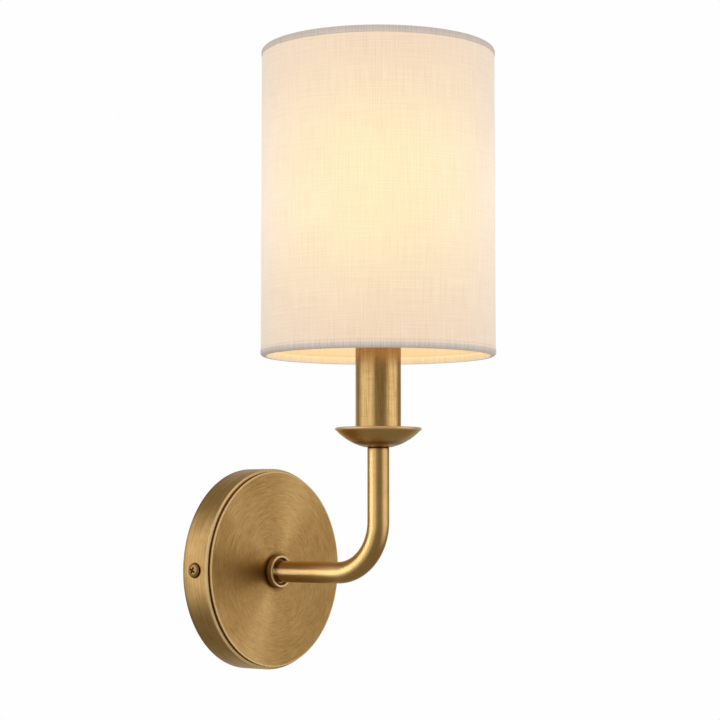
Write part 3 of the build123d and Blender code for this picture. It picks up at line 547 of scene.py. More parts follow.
# ---- linen ----
def linen_material(name, glow_from, hem=False, outer=True):
    """Slubby linen over a lamp: a woven colour and bump, with the bulb's warmth coming through.

    u runs round the shade and v up it, in metres. Warp threads are waves in u and weft threads waves in
    v, each shifted and thickened by long thin noise, so that slubs run along the threads. The glow is the
    lamp's light through the cloth: it falls off with the distance from the bulb's level along the axis.
    The lining, which isn't outer, glows evenly. The hem's fold attribute paints shade that darkens its
    roll, more on the top hem, and a glowing line at its seam. Its inside attribute marks the cloth that
    the lamp lights directly.
    """
    s = settings().shade
    material, tree = new_material(name)
    cloth = put(tree, "ShaderNodeUVMap", uv_map="Cloth").outputs[0]
    place = own_place(tree)
    split = put(tree, "ShaderNodeSeparateXYZ", {0: cloth})
    around, up = split.outputs[0], split.outputs[1]

    def stretched(across_scale, along_scale, detail):
        scaled = vectors(tree, "MULTIPLY", cloth, (across_scale, along_scale, 1.0))
        return noise(tree, scaled, 1.0, detail, 0.6)

    def threads(position, pitch, sway):
        phase = fused(tree, position, TURN / pitch, times(tree, sway, 9.0))
        return fused(tree, sums(tree, "SINE", phase), 0.5, 0.5)

    warp = threads(around, s.thread_pitch, stretched(420.0, 34.0, 3.0))
    weft = threads(up, s.thread_pitch * 1.08, stretched(26.0, 420.0, 3.0))
    warp_slub = stretched(900.0, 42.0, 4.0)
    weft_slub = stretched(34.0, 1100.0, 4.0)
    cloud = noise(tree, place, 28.0, 3.0, 0.5)
    weave = plus(tree, times(tree, warp, 0.26), times(tree, weft, 0.18))
    slubs = plus(tree, times(tree, warp_slub, 0.75), times(tree, weft_slub, 0.65))
    pattern = plus(tree, weave, sums(tree, "SUBTRACT", slubs, 0.42))
    pattern = plus(tree, pattern, fused(tree, cloud, 0.3, -0.15), clamp=True)
    tint = blended(tree, pattern, colour(s.linen_shadow), colour(s.linen))
    thin = fused(tree, pattern, 0.3, 0.85)
    if outer:
        local = vectors(tree, "SUBTRACT", place, tuple(glow_from))
        height = put(tree, "ShaderNodeSeparateXYZ", {0: local}).outputs[2]
        rise = sums(tree, "DIVIDE", height, s.glow_reach)
        fall = sums(tree, "POWER", fused(tree, rise, rise, 1.0), -0.6)
        strength = times(tree, times(tree, fall, thin), s.glow)
        warm = blended(tree, spread(tree, fall, 0.55, 1.0), colour(s.glow_far), colour(s.glow_near))
        edge = put(tree, "ShaderNodeLayerWeight", {"Blend": 0.5}).outputs["Facing"]
        warm = blended(tree, times(tree, edge, 1.3, clamp=True), warm, colour(s.glow_edge))
    else:
        strength, warm = times(tree, thin, s.inner_glow), colour(s.glow_inside)
    if hem:
        # Painted shade: the fold darkens the hem's roll, more on the top hem, and paints a glow line at
        # its seam.
        roll_shade, inside = attribute(tree, "roll_shade"), attribute(tree, "inside")
        thread = fused(tree, warp_slub, 0.8, times(tree, warp, 0.35))
        thread = spread(tree, thread, 0.3, 0.9, 0.78, 1.08)
        thread = times(tree, thread, fused(tree, roll_shade, -0.3, 1.0))
        scaled = put(tree, "ShaderNodeVectorMath", {0: tuple(s.hem), "Scale": thread}, operation="SCALE")
        tint = scaled.outputs[0]
        through = plus(tree, fused(tree, inside, 2.4, 0.08), spread(tree, roll_shade, 0.0, 0.3, 0.7, 0.0))
        strength = times(tree, strength, through)
        warm = blended(tree, inside, warm, colour(s.glow_inside))
    inputs = {
        "Base Color": tint,
        "Roughness": 0.92,
        "Sheen Weight": 0.12,
        "Sheen Roughness": 0.45,
        "Normal": bumped(tree, pattern, 0.35, 0.12 * MM),
        "Emission Color": warm,
        "Emission Strength": strength,
    }
    principled(tree, inputs)
    return material


def glowing_material(name, tint, strength):
    """A lit filament: plain even light."""
    material, tree = new_material(name)
    glow = put(tree, "ShaderNodeEmission", {"Color": (*tint, 1.0), "Strength": strength})
    finished(tree, glow.outputs[0])
    return material


def bulb_glass_material(name, tint):
    """Blown glass: smooth, with a faint waviness."""
    material, tree = new_material(name)
    wave = noise(tree, own_place(tree), 90.0, 2.0, 0.5)
    inputs = {
        "Base Color": colour(tint),
        "Roughness": fused(tree, wave, 0.02, 0.01),
        "IOR": 1.5,
        "Transmission Weight": 1.0,
        "Normal": bumped(tree, wave, 0.05, 0.2 * MM),
    }
    principled(tree, inputs)
    return material


# ---- settings ----
def tint_property(name, about, values):
    """A colour that a user may change."""
    limits = {"subtype": "COLOR", "size": 3, "min": 0, "max": 1}
    return bpy.props.FloatVectorProperty(name=name, description=about, default=values, **limits)


def number_property(name, about, value, **limits):
    """A number from zero up that a user may change."""
    return bpy.props.FloatProperty(name=name, description=about, min=0, default=value, **limits)


def share_property(name, about, value):
    """A share from 0 to 1 that a user may change."""
    return number_property(name, about, value, max=1, subtype="FACTOR")


def length_property(name, about, value):
    """A length in metres that a user may change."""
    return number_property(name, about, value, max=1, subtype="DISTANCE", unit="LENGTH", precision=5)


def power_property(name, about, value):
    """A lamp's power in watts that a user may change."""
    return number_property(name, about, value, subtype="POWER")


class BrassSettings(bpy.types.PropertyGroup):
    """Colours and gloss of the aged brass."""

    bright: tint_property("Brushed brass", "Colour of the brushed metal", (0.80, 0.545, 0.245))
    aged: tint_property("Aged brass", "Colour of the tarnished metal", (0.40, 0.23, 0.075))
    # The recess colour also paints shadows round the screw heads and a dark reflection on the face disc.
    recess: tint_property("Recess", "Colour of the dirt in grooves and corners", (0.10, 0.055, 0.02))
    # The worn edge colour also paints highlights on lips and rims.
    worn_and_highlight: tint_property("Worn edge", "Colour of edges that touch has polished", (0.92, 0.70, 0.38))
    roughness: share_property("Roughness", "How blurred the brass mirrors", 0.34)
    anisotropy: share_property("Stretch", "How far the face disc's brushing stretches highlights", 0.75)


class ShadeSettings(bpy.types.PropertyGroup):
    """Cloth and glow of the drum shade."""

    linen: tint_property("Linen", "Colour of the threads", (0.77, 0.64, 0.525))
    linen_shadow: tint_property("Linen gaps", "Colour between the threads", (0.60, 0.49, 0.385))
    hem: tint_property("Hem", "Colour of the cloth rolled round the wires", (0.76, 0.665, 0.585))
    glow_near: tint_property("Near glow", "Colour of the light at the bulb's level", (1.0, 0.84, 0.26))
    glow_far: tint_property("Far glow", "Colour of the light far from the bulb", (1.0, 0.62, 0.30))
    glow_edge: tint_property("Side glow", "Colour of the light at the drum's sides", (1.0, 0.84, 0.66))
    glow_inside: tint_property("Inner glow", "Colour of the lit lining", (1.0, 0.71, 0.35))
    glow: number_property("Glow strength", "Brightness of the cloth at the bulb's level", 0.37)
    inner_glow: number_property("Inner glow strength", "Brightness of the lit lining", 0.54)
    glow_reach: length_property("Glow reach", "Height over which the glow falls off", 0.075)
    thread_pitch: length_property("Thread pitch", "Distance from one thread to the next", 0.00085)
    hem_height: length_property("Hem height", "How far the rolled cloth reaches from the edge", 0.0043)


class BulbSettings(bpy.types.PropertyGroup):
    """Glass and light of the bulb."""

    glass: tint_property("Glass", "Tint of the bulb's glass", (1.0, 0.97, 0.9))
    lamp: tint_property("Lamp light", "Colour of the bulb's own lamp", (1.0, 0.72, 0.38))
    watts: power_property("Lamp power", "Power of the bulb's own lamp", 0.12)
    level: length_property("Light level", "Height of the bulb's lamp above the canopy's centre", 0.216)


class StudioSettings(bpy.types.PropertyGroup):
    """Camera and studio light."""

    camera_place: bpy.props.FloatVectorProperty(
        name="Camera", description="Where the camera stands", subtype="TRANSLATION", unit="LENGTH",
        size=3, precision=6, default=(-0.966256, -0.852309, 0.031548),
    )
    camera_turn: bpy.props.FloatVectorProperty(
        name="Camera turn", description="How the camera is turned", subtype="EULER", unit="ROTATION",
        size=3, default=(radians(94.2281), 0.0, radians(-51.5261)),
    )
    lens: bpy.props.FloatProperty(
        name="Lens", description="The camera's focal length in mm", min=1, default=105.6125
    )
    sky: number_property("Sky", "Brightness of the even light on cloth and coatings", 0.88)
    room: number_property("Room above", "Brightness of what metal mirrors from above", 0.24)
    room_low: number_property("Room below", "Brightness of what metal mirrors from below", 0.21)
    key: power_property("Key light", "Power of the large lamp at the left", 6.0)
    fill: power_property("Fill light", "Power of the large lamp at the right", 3.0)
    arm_light: power_property("Arm light", "Power of the lamp that lights the arm alone", 0.2)
    floor_level: bpy.props.FloatProperty(
        name="Floor", description="Height of the floor", subtype="DISTANCE", unit="LENGTH", default=-0.25
    )


def group_property(group, name):
    """A named group of settings, described by its own docstring."""
    return bpy.props.PointerProperty(type=group, name=name, description=group.__doc__)


class WallLightSettings(bpy.types.PropertyGroup):
    """All settings of the wall light."""

    brass: group_property(BrassSettings, "Brass")
    shade: group_property(ShadeSettings, "Shade")
    bulb: group_property(BulbSettings, "Bulb")
    studio: group_property(StudioSettings, "Studio")


# ---- canopy ----
def canopy_piece(name, profile, age_and_painted_light, tone_and_highlight=0.0):
    """A turned piece about the canopy's centre, whose bore is shifted to the arm's level."""
    shift = (1 - ramp(profile[:, 0] - 12 * MM, 40 * MM))[:, None] * ARM_LEVEL * UP
    return lathe(name, profile, 0 * OUT, OUT, 2 * ROUND, age_and_painted_light, shift, tone_and_highlight)


def add_pan():
    """A thin wall with a rounded front lip, bright there from wear and a painted highlight, and dirty at
    its back.
    """
    wall = 1.2 * MM
    radius, front = radius_of("canopy_pan"), -low("canopy_pan")[1]
    inner, inside = radius - wall, front - wall
    corners = [
        (radius, 0, 0.25 * MM), (radius, front, 1.4 * MM), (BORE, front, 0.2 * MM),
        (BORE, inside, 0.2 * MM), (inner, inside, 0.6 * MM), (inner, 0, 0.25 * MM),
    ]
    profile = outline(corners, 0.8 * MM)
    across, height = profile.T
    # Painted highlight and wear: the lip is lightened and made less metallic, which gives it a cream
    # line.
    lip = near(across, radius - 0.4 * MM, 0.5 * MM) * near(height, front - 0.4 * MM, 0.7 * MM)
    groove = ramp(radius - 1.7 * MM - across, 0.8 * MM) * (height > front - 0.1 * MM)
    back = near(height, 0, 1.2 * MM)
    mesh = canopy_piece("canopy_pan", profile, 1.2 * lip - 0.15 * groove - 0.35 * back)
    # The skirt gets a painted shadow and dirt ring round each side screw head.
    screws = [(side * radius, middle("side_screws")[1], 0.0) for side in (-1, 1)]
    skirt = brass_material("Brass skirt", 1300, 1.6, 0.7, 0.9, lift=-0.22, ring=screws)
    brass_piece("canopy_shell", mesh, skirt, "canopy_pan")


def add_face():
    """A disc whose edge stands proud of a groove, with painted highlight fans and a painted dark
    reflection on its front, and a rim lightened by wear and a painted highlight.
    """
    rim, edge, groove = radius_of("face_disc"), 1.1 * MM, 0.8 * MM
    back, front = -high("face_disc")[1], -low("face_disc")[1]
    corners = [
        (rim, front - edge, 0.2 * MM), (rim, front, 0.45 * MM), (BORE, front, 0.2 * MM),
        (BORE, back, 0.2 * MM), (rim - groove, back, 0.1 * MM), (rim - groove, front - edge, 0.2 * MM),
    ]
    profile = outline(corners, 0.6 * MM)
    across, height = profile.T
    facing = height > front - 0.46 * MM
    # The rim is lightened: wear, and a painted highlight.
    worn_and_highlight = near(across, rim - 0.25 * MM, 0.4 * MM) * facing
    dirt = near(across, 9.8 * MM, 1.6 * MM) * facing + 0.1 * (height < front - 0.9 * MM)
    angles = circle(2 * ROUND)
    # Painted highlight: where the fans fall, the tarnish is lowered and the face is lighter.
    painted_fan = sum(weight * lobe(angles, degrees, width) for degrees, width, weight in HIGHLIGHT_FANS)
    tone_and_highlight = 0.72 - 1.25 * painted_fan[None] * ramp(across - 9 * MM, 12 * MM)[:, None]
    # Painted shade: a darker lobe at 9 o'clock, beside the collar, stands for a dark reflection.
    fade = np.exp(-np.clip(across - 10 * MM, 0, 1) / (26 * MM))[:, None]
    dark_reflection_shade = 0.55 * lobe(angles, 182, 17)[None] * fade
    age_and_painted_light = (1.1 * worn_and_highlight - 0.7 * dirt)[:, None] - dark_reflection_shade * facing[:, None]
    mesh = canopy_piece("face_disc", profile, age_and_painted_light, tone_and_highlight)
    face = brass_material("Brass face", 1700, 5.0, 0.55, 0.4, spin=(0, -front, 0))
    brass_piece("canopy_face", mesh, face, "face_disc")


def add_screws():
    """Each head is a shallow dome with a cross-shaped recess, a painted highlight ring and a painted
    shadow at its foot; the shank a plain cylinder.
    """
    start = radius_of("canopy_pan")
    head, tall, shank, thick = 4.0 * MM, 2.3 * MM, 9.0 * MM, 2.0 * MM
    steps = 4 * ROUND_SMALL
    angles = circle(steps)
    shoulder = [(head * 0.55, tall, 2.6 * MM), (head, tall * 0.55, 0.9 * MM)]
    corners = [(0, tall), *shoulder, (head, 0, 0.1 * MM)]
    dome = outline(corners, 0.06 * MM, closed=False)
    corners = [(head, 0), (thick, 0), (thick, -shank, 0.2 * MM), (0, -shank)]
    profile = np.vstack([dome, outline(corners, 1.0 * MM, closed=False)[1:]])
    reach, height = profile[:, 0, None] + 0 * angles, profile[:, 1, None]
    x, y = reach * np.cos(angles), reach * np.sin(angles)

    def slot(across, along):
        return ramp(0.52 * MM - abs(across), 0.16 * MM) * ramp(2.15 * MM - abs(along), 0.5 * MM)

    recess = np.maximum(slot(x, y), slot(y, x)) * (np.arange(len(profile)) < len(dome))[:, None]
    sunk = 0.95 * MM * recess + 0.35 * MM * near(reach, 0, 0.9 * MM) * (recess > 0)
    # A lighter ring on the dome is a painted highlight; the cross recess is darkened.
    age_and_painted_light = 0.3 * near(reach, 2.7 * MM, 0.5 * MM) * (recess < 0.05) - 1.3 * recess
    # Painted shadow: the head darkens to a dark outline round its foot.
    age_and_painted_light -= 1.2 * np.clip(1.3 - height / (0.5 * MM), 0, 1)
    layers = {"brush": brush_marks(lengths_along(profile), steps), "age_and_painted_light": age_and_painted_light, "tone_and_highlight": 0.8}
    meshes = []
    for side, degrees in ((-1, 28), (1, -14)):
        cosine, sine = np.cos(radians(degrees)), np.sin(radians(degrees))
        across = np.stack([0 * x, x * cosine - y * sine, x * sine + y * cosine], -1)
        foot = side * start * SIDE + np.array([0, middle("side_screws")[1], 0])
        grid = foot + (height - sunk)[..., None] * side * SIDE + across
        meshes.append(mesh_from("screw", grid, layers=layers))
    metal = brass_material("Brass screw", 700, 1.2, 0.3, 0.6, shine=0.26)
    brass_piece("side_screw_pair", joined("side_screws", meshes), metal, "side_screws")


# ---- arm, dish and sleeve ----
def add_collar():
    """A ring with a cupped front, whose edge is bright from wear and a painted highlight, dirty at its
    foot and inside the cup.
    """
    start, front = -high("arm_tube")[1], -low("arm_collar")[1]
    bore, radius = 6.4 * MM, 10 * MM
    corners = [
        (bore, start, 0.1 * MM), (radius, start, 0.15 * MM), (9.55 * MM, front, 0.45 * MM),
        (8.3 * MM, front, 0.45 * MM), (7.3 * MM, start + 2.3 * MM, 0.5 * MM),
        (bore, start + 2.1 * MM, 0.1 * MM),
    ]
    profile = outline(corners, 0.25 * MM)
    across, height = profile.T
    # The front edge is lightened: wear, and a painted highlight.
    age_and_painted_light = 0.65 * near(height, front, 0.5 * MM)
    age_and_painted_light -= 0.5 * near(across, 6.6 * MM, 0.8 * MM) + 0.8 * near(height, start, 0.7 * MM)
    mesh = lathe("arm_collar", profile, ARM_LEVEL * UP, OUT, ROUND, age_and_painted_light)
    metal = brass_material("Brass collar", 1800, 1.2, 0.5, 0.6, lift=-0.15)
    brass_piece("collar", mesh, metal, "arm_collar")


def add_tube():
    """Out from the wall, round a quarter bend and up, with softened ends."""
    radius, wall, bend = 6.35 * MM, 1.3 * MM, 30 * MM
    start, top = -high("arm_tube")[1], high("arm_tube")[2]
    level = np.linspace(start, -LAMP[1] - bend, 60)[:-1]
    rising = np.linspace(ARM_LEVEL + bend, top, 50)[1:]
    turn = np.linspace(0, pi / 2, 49)
    depth = np.concatenate([-level, LAMP[1] + bend - bend * np.sin(turn), LAMP[1] + 0 * rising])
    height = np.concatenate([ARM_LEVEL + 0 * level, ARM_LEVEL + bend - bend * np.cos(turn), rising])
    path = np.stack([0 * depth, depth, height], 1)
    radii = np.full(len(path), radius)
    radii[0] = radii[-1] = radius - 0.25 * MM
    size = np.concatenate([radii, np.full(len(path), radius - wall)])
    there, way = directions(path), lengths_along(path)
    top_end = way[-1]
    path, there = np.vstack([path, path[::-1]]), np.vstack([there, there[::-1]])
    way = np.concatenate([way, way[::-1] + 1 * MM])
    angles = circle(ROUND_SMALL)[:, None]
    spokes = np.cos(angles) * SIDE + np.sin(angles) * np.cross(SIDE, there)[:, None]
    dirt = near(way, 4 * MM, 3 * MM) + 0.9 * near(way, top_end, 1.2 * MM)
    layers = {"brush": brush_marks(way, ROUND_SMALL), "age_and_painted_light": -0.7 * dirt[:, None], "tone_and_highlight": 0.0}
    grid = path[:, None] + size[:, None, None] * spokes
    mesh = mesh_from("arm_tube", grid, round_rows=True, layers=layers)
    metal = brass_material("Brass tube", 900, 1.1, 0.12, 0.7, streaks=0.3, shine=0.325)
    brass_piece("arm", mesh, metal, "arm_tube")


def add_dish():
    """A bowl between two spheres with a round bead on its rim and a flat seat."""
    bowl, wall, bead, seat = 33.5 * MM, 1.2 * MM, 0.85 * MM, 8.0 * MM
    bottom = low("drip_dish")[2]
    centre = bottom + np.sqrt(bowl**2 - seat**2)
    inside = bowl - wall
    rim = radius_of("drip_dish") - bead
    rim_level = centre - np.sqrt((bowl - wall / 2) ** 2 - rim**2)
    floor = bottom + wall
    floor_radius = np.sqrt(inside**2 - (centre - floor) ** 2)
    under_rim = np.arctan2(rim_level - centre, rim) - 0.55 * bead / bowl

    def arc(radius, first, last):
        angles = np.linspace(first, last, 70)
        return np.stack([radius * np.cos(angles), centre + radius * np.sin(angles)], 1)

    outer = arc(bowl, np.arctan2(bottom - centre, seat), under_rim)
    inner = arc(inside, under_rim, np.arctan2(floor - centre, floor_radius))
    ends = [np.arctan2(*(point - (rim, rim_level))[::-1]) for point in (outer[-1], inner[0])]
    around = np.linspace(ends[0], ends[1] + (TURN if ends[1] < ends[0] else 0), 26)[1:-1]
    lip = np.stack([rim + bead * np.cos(around), rim_level + bead * np.sin(around)], 1)
    under = [(BORE, bottom), ((BORE + seat) / 2, bottom)]
    over = [((floor_radius + BORE) / 2, floor), (BORE, floor)]
    profile = np.vstack([under, outer, lip, inner, over])
    across, height = profile.T
    age_and_painted_light = 0.9 * near(np.hypot(across - rim - bead / 2, height - rim_level), 0, 0.8 * MM)
    age_and_painted_light -= 0.8 * near(across, seat - 1.2 * MM, 1.6 * MM) * (height < floor)
    sleeve = np.hypot(across - radius_of("candle_sleeve"), height - low("candle_sleeve")[2])
    age_and_painted_light -= 0.8 * near(sleeve, 0, 2.5 * MM)
    mesh = lathe("drip_dish", profile, LAMP, UP, ROUND, age_and_painted_light)
    brass_piece("dish", mesh, brass_material("Brass dish", 480, 0.9, 0.8, 1.6, lift=0.5), "drip_dish")


def add_sleeve():
    """The straight candle sleeve over the lampholder."""
    radius, wall, soft = radius_of("candle_sleeve"), 0.9 * MM, 0.2 * MM
    bottom, top = low("candle_sleeve")[2], high("candle_sleeve")[2]
    inner = radius - wall
    corners = [(radius, bottom, soft), (radius, top, soft), (inner, top, soft), (inner, bottom, soft)]
    profile = outline(corners)
    age_and_painted_light = -0.75 * near(profile[:, 1], bottom, 2.2 * MM)
    mesh = lathe("candle_sleeve", profile, LAMP, UP, ROUND, age_and_painted_light)
    metal = brass_material("Brass sleeve", 2000, 1.0, 0.35, 0.9, streaks=1.0, shine=0.24)
    brass_piece("sleeve", mesh, metal, "candle_sleeve")


# ---- shade ----
def add_cover(radius, seam_low, seam_high, cloth):
    """The cloth between the hems: a thin tube whose faint waviness fades out at both ends."""
    thickness, lap, depth = 0.4 * MM, 0.5 * MM, 0.06 * MM
    angles = circle(SHADE_STEPS)
    levels = np.linspace(seam_low - lap, seam_high + lap, 90)
    swell = np.sin(pi * (levels - levels[0]) / (levels[-1] - levels[0]))
    waves = depth * ripple(angles, 5, 9, TURN)[None] * swell[:, None]
    outer = np.stack([0 * levels + radius, levels], 1)
    profile = np.vstack([outer, (outer - (thickness, 0))[::-1]])
    grid = turned(profile, LAMP, UP, SHADE_STEPS)
    grid += np.vstack([waves, waves[::-1]])[..., None] * outward(angles)
    uv = cloth_grid(np.append(profile[:, 1], profile[0, 1]), radius, SHADE_STEPS)
    mesh = mesh_from("cover", grid, round_rows=True, uv=uv)
    return piece("shade_cover", mesh, "shade", cloth, ["shade_fabric"])


def add_hem(name, radius, edge, way, ring, cloth):
    """The cloth rolled round a wire ring: a leg from the seam, a half turn and a tuck inside.

    way is 1 at the shade's bottom, where the seam is above the edge, and -1 at its top.
    """
    proud, thickness, steps = 0.25 * MM, 0.4 * MM, 6 * ROUND_SMALL
    hem_height = settings().shade.hem_height
    seam = edge + way * hem_height
    wire, wire_radius = middle(ring)[2], radius_of(ring) - 1.5 * MM
    roll = radius + proud - wire_radius
    turns = np.linspace(0, -pi, 17)
    half_turn = [wire_radius + roll * np.cos(turns), wire + way * (roll - proud) * np.sin(turns)]
    leg = [(0.02 * MM, 0.02 * MM), (0.75 * proud, 0.25 * MM), (proud, 0.7 * MM)]
    tuck = [(0, 0.8 * MM), (0.4 * MM, 1.6 * MM), (1.3 * MM, 2.3 * MM)]
    outside = np.vstack([
        [(radius + out, seam - way * down) for out, down in leg],
        np.stack(half_turn, 1),
        [(wire_radius - roll + out, wire + way * up) for out, up in tuck],
    ])
    tangent = directions(outside)
    normal = np.stack([-tangent[:, 1], tangent[:, 0]], 1) * way
    centred = outside - (wire_radius, wire)
    if ((centred + normal) ** 2).sum() > ((centred - normal) ** 2).sum():
        normal = -normal
    profile = np.vstack([outside, (outside + normal * thickness)[::-1]])
    angles = circle(steps)
    puckers = 0.05 * MM * ripple(angles, 11 + way, 60, TURN, 0.1)
    grid = turned(profile, LAMP, UP, steps) + puckers[:, None] * outward(angles)
    uv = cloth_grid(np.append(lengths_along(profile), 0) + edge, radius, steps)
    inside = ramp(wire_radius - 0.5 * MM - profile[:, 0], 0.8 * MM)
    # Painted shade: fold grows from the seam to the edge, and starts higher on the top hem, which is
    # darker.
    roll_shade = ramp(abs(profile[:, 1] - seam), hem_height)
    roll_shade = 0.8 * roll_shade if way > 0 else 0.25 + 0.75 * roll_shade
    layers = {"inside": inside[:, None], "roll_shade": roll_shade[:, None]}
    mesh = mesh_from(name, grid, round_rows=True, uv=uv, layers=layers)
    return piece(name, mesh, "shade", cloth)


def add_lining(radius, cloth):
    """The stiff lining inside the cover: a plain thin tube."""
    outer, bottom, top = radius_of("shade_liner"), low("shade_liner")[2], high("shade_liner")[2]
    inner = outer - 0.45 * MM
    profile = outline([(outer, bottom), (outer, top), (inner, top), (inner, bottom)], 3 * MM)
    uv = cloth_grid(np.append(profile[:, 1], profile[0, 1]), radius, SHADE_STEPS)
    mesh = mesh_from("liner", turned(profile, LAMP, UP, SHADE_STEPS), round_rows=True, uv=uv)
    piece("shade_lining", mesh, "shade", cloth, ["shade_liner"])


def add_shade():
    """The cover, its two hems and the lining."""
    chosen = settings()
    radius = radius_of("shade_fabric")
    bottom, top = low("shade_fabric")[2], high("shade_fabric")[2]
    glow_at = LAMP + chosen.bulb.level * UP
    seam = chosen.shade.hem_height
    cover = add_cover(radius, bottom + seam, top - seam, linen_material("Linen", glow_at))
    cloth = linen_material("Linen hem", glow_at, hem=True)
    hems = [
        add_hem("bottom_hem", radius, bottom, 1, "bottom_wire_ring", cloth),
        add_hem("top_hem", radius, top, -1, "top_wire_ring", cloth),
    ]
    add_lining(radius, linen_material("Liner", glow_at, outer=False))


# ---- bulb and fittings ----
def add_envelope():
    """The bulb's glass: it widens from an open neck, then draws in to a rounded tip."""
    bottom, top = low("bulb_glass")[2], high("bulb_glass")[2]
    widest, level, neck, wall = radius_of("bulb_glass"), 26.0 * MM, 7.05 * MM, 0.8 * MM

    def side(inset):
        tall = top - inset - bottom
        upper = level + (tall - level) * np.sin(np.linspace(0, pi / 2, 60))
        heights = np.concatenate([np.linspace(0, level, 40)[:-1], upper])
        rising = np.sin(ramp(heights, level) * pi / 2) ** 1.3
        falling = (1 - ramp(heights - level, tall - level) ** 2) ** 0.8
        radii = (neck + (widest - neck) * rising - inset) * falling
        return np.stack([radii, bottom + heights], 1)

    profile = np.vstack([side(0)[::-1], side(wall)])
    mesh = mesh_from("bulb_glass", turned(profile, LAMP, UP, ROUND_SMALL))
    glass = bulb_glass_material("Bulb glass", settings().bulb.glass)
    piece("bulb_envelope", mesh, "bulb", glass, ["bulb_glass"])


# What the CAD nodes are made of: the kind of material, its name, colour and roughness, and the nodes.
FITTINGS = (
    (
        metal_material, "Drawn brass", (0.78, 0.58, 0.28), 0.28,
        "earth_screw terminal_inserts mounting_nipple canopy_nut",
    ),
    (
        metal_material, "Inner brass", (0.62, 0.44, 0.2), 0.35,
        "riser_nipple dish_washer holder_nut screw_shell centre_contact",
    ),
    (
        metal_material, "Zinc-plated steel", (0.62, 0.63, 0.64), 0.38,
        "terminal_screws block_screws lock_washer wall_bracket bracket_ears holder_bracket holder_rivets",
    ),
    (metal_material, "Nickel", (0.72, 0.69, 0.64), 0.25, "earth_tag bulb_cap bulb_contact"),
    (
        moulded_material, "White wire coating", (0.82, 0.81, 0.78), 0.35,
        "carrier_washer carrier_arms bottom_wire_ring top_wire_ring",
    ),
    (moulded_material, "Lampholder", (0.80, 0.78, 0.72), 0.4, "lampholder_body shade_ring"),
    (moulded_material, "Terminal block", (0.78, 0.78, 0.75), 0.4, "terminal_block"),
    (moulded_material, "Bulb insulator", (0.02, 0.02, 0.025), 0.25, "bulb_insulator"),
    (moulded_material, "Brown insulation", (0.17, 0.07, 0.035), 0.42, "live_lead"),
    (moulded_material, "Blue insulation", (0.03, 0.1, 0.42), 0.42, "neutral_lead"),
    (moulded_material, "Green insulation", (0.09, 0.36, 0.07), 0.42, "earth_lead"),
)


def add_finishes():
    """Finishes of the lampholder, bulb, fasteners, wiring and wall bracket."""
    for kind, name, tint, roughness, nodes in FITTINGS:
        material = kind(name, tint, roughness)
        for node in nodes.split():
            dress(node, material)
    dress("bulb_stem", bulb_glass_material("Clear glass", (1.0, 1.0, 1.0)))
    dress("led_filaments", glowing_material("Filament", (1.0, 0.7, 0.36), 7.0))


# ---- studio ----
def add_lamp(name, kind, place, power, size):
    """A lamp at a place, turned towards the middle of the wall light."""
    data = bpy.data.lights.new(name, kind)
    data.energy = power
    if kind == "AREA":
        data.shape = "DISK"
        data.size = size
    else:
        data.shadow_soft_size = size
    lamp = bpy.data.objects.new(name, data)
    lamp.location = place
    lamp.rotation_euler = (Vector(LIT_MIDDLE) - Vector(place)).to_track_quat("-Z", "Y").to_euler()
    lamp.visible_glossy = False
    bpy.context.scene.collection.objects.link(lamp)
    return lamp


def add_arm_light(power):
    """A softbox behind and left of the arm, which lights the arm alone."""
    lamp = add_lamp("Arm light", "AREA", (-0.273, 0.172, 0.012), power, 0.26)
    lamp.visible_glossy = True
    lamp.data.cycles.use_multiple_importance_sampling = False
    lit = bpy.data.collections.new("Lit by the arm light")
    lit.objects.link(bpy.data.objects["arm"])
    lamp.light_linking.receiver_collection = lit
    lamp.light_linking.blocker_collection = lit


def dim_lining():
    """Keep the glow of the lining and the hems from lighting the brass as lamps would."""
    brass = bpy.data.collections.new("Not lit by the lining")
    for name in ("sleeve", "arm", "dish", "collar", "canopy_shell", "canopy_face", "side_screw_pair"):
        brass.objects.link(bpy.data.objects[name])
    for lit in brass.collection_objects:
        lit.light_linking.link_state = "EXCLUDE"
    for name in ("shade_lining", "bottom_hem", "top_hem"):
        bpy.data.objects[name].light_linking.receiver_collection = brass


def add_floor(level):
    """A wide pale floor that only scatters light."""
    half = 6.0
    corners = [(half * x, half * y, level) for x, y in ((-1, -1), (1, -1), (1, 1), (-1, 1))]
    mesh = bpy.data.meshes.new("Floor")
    mesh.from_pydata(corners, [], [(0, 1, 2, 3)])
    mesh.materials.append(moulded_material("Floor", (0.8, 0.8, 0.8), 0.9, 40.0, 0.01))
    floor = bpy.data.objects.new("Floor", mesh)
    bpy.context.scene.collection.objects.link(floor)
    floor.visible_camera = floor.visible_glossy = False
    return floor


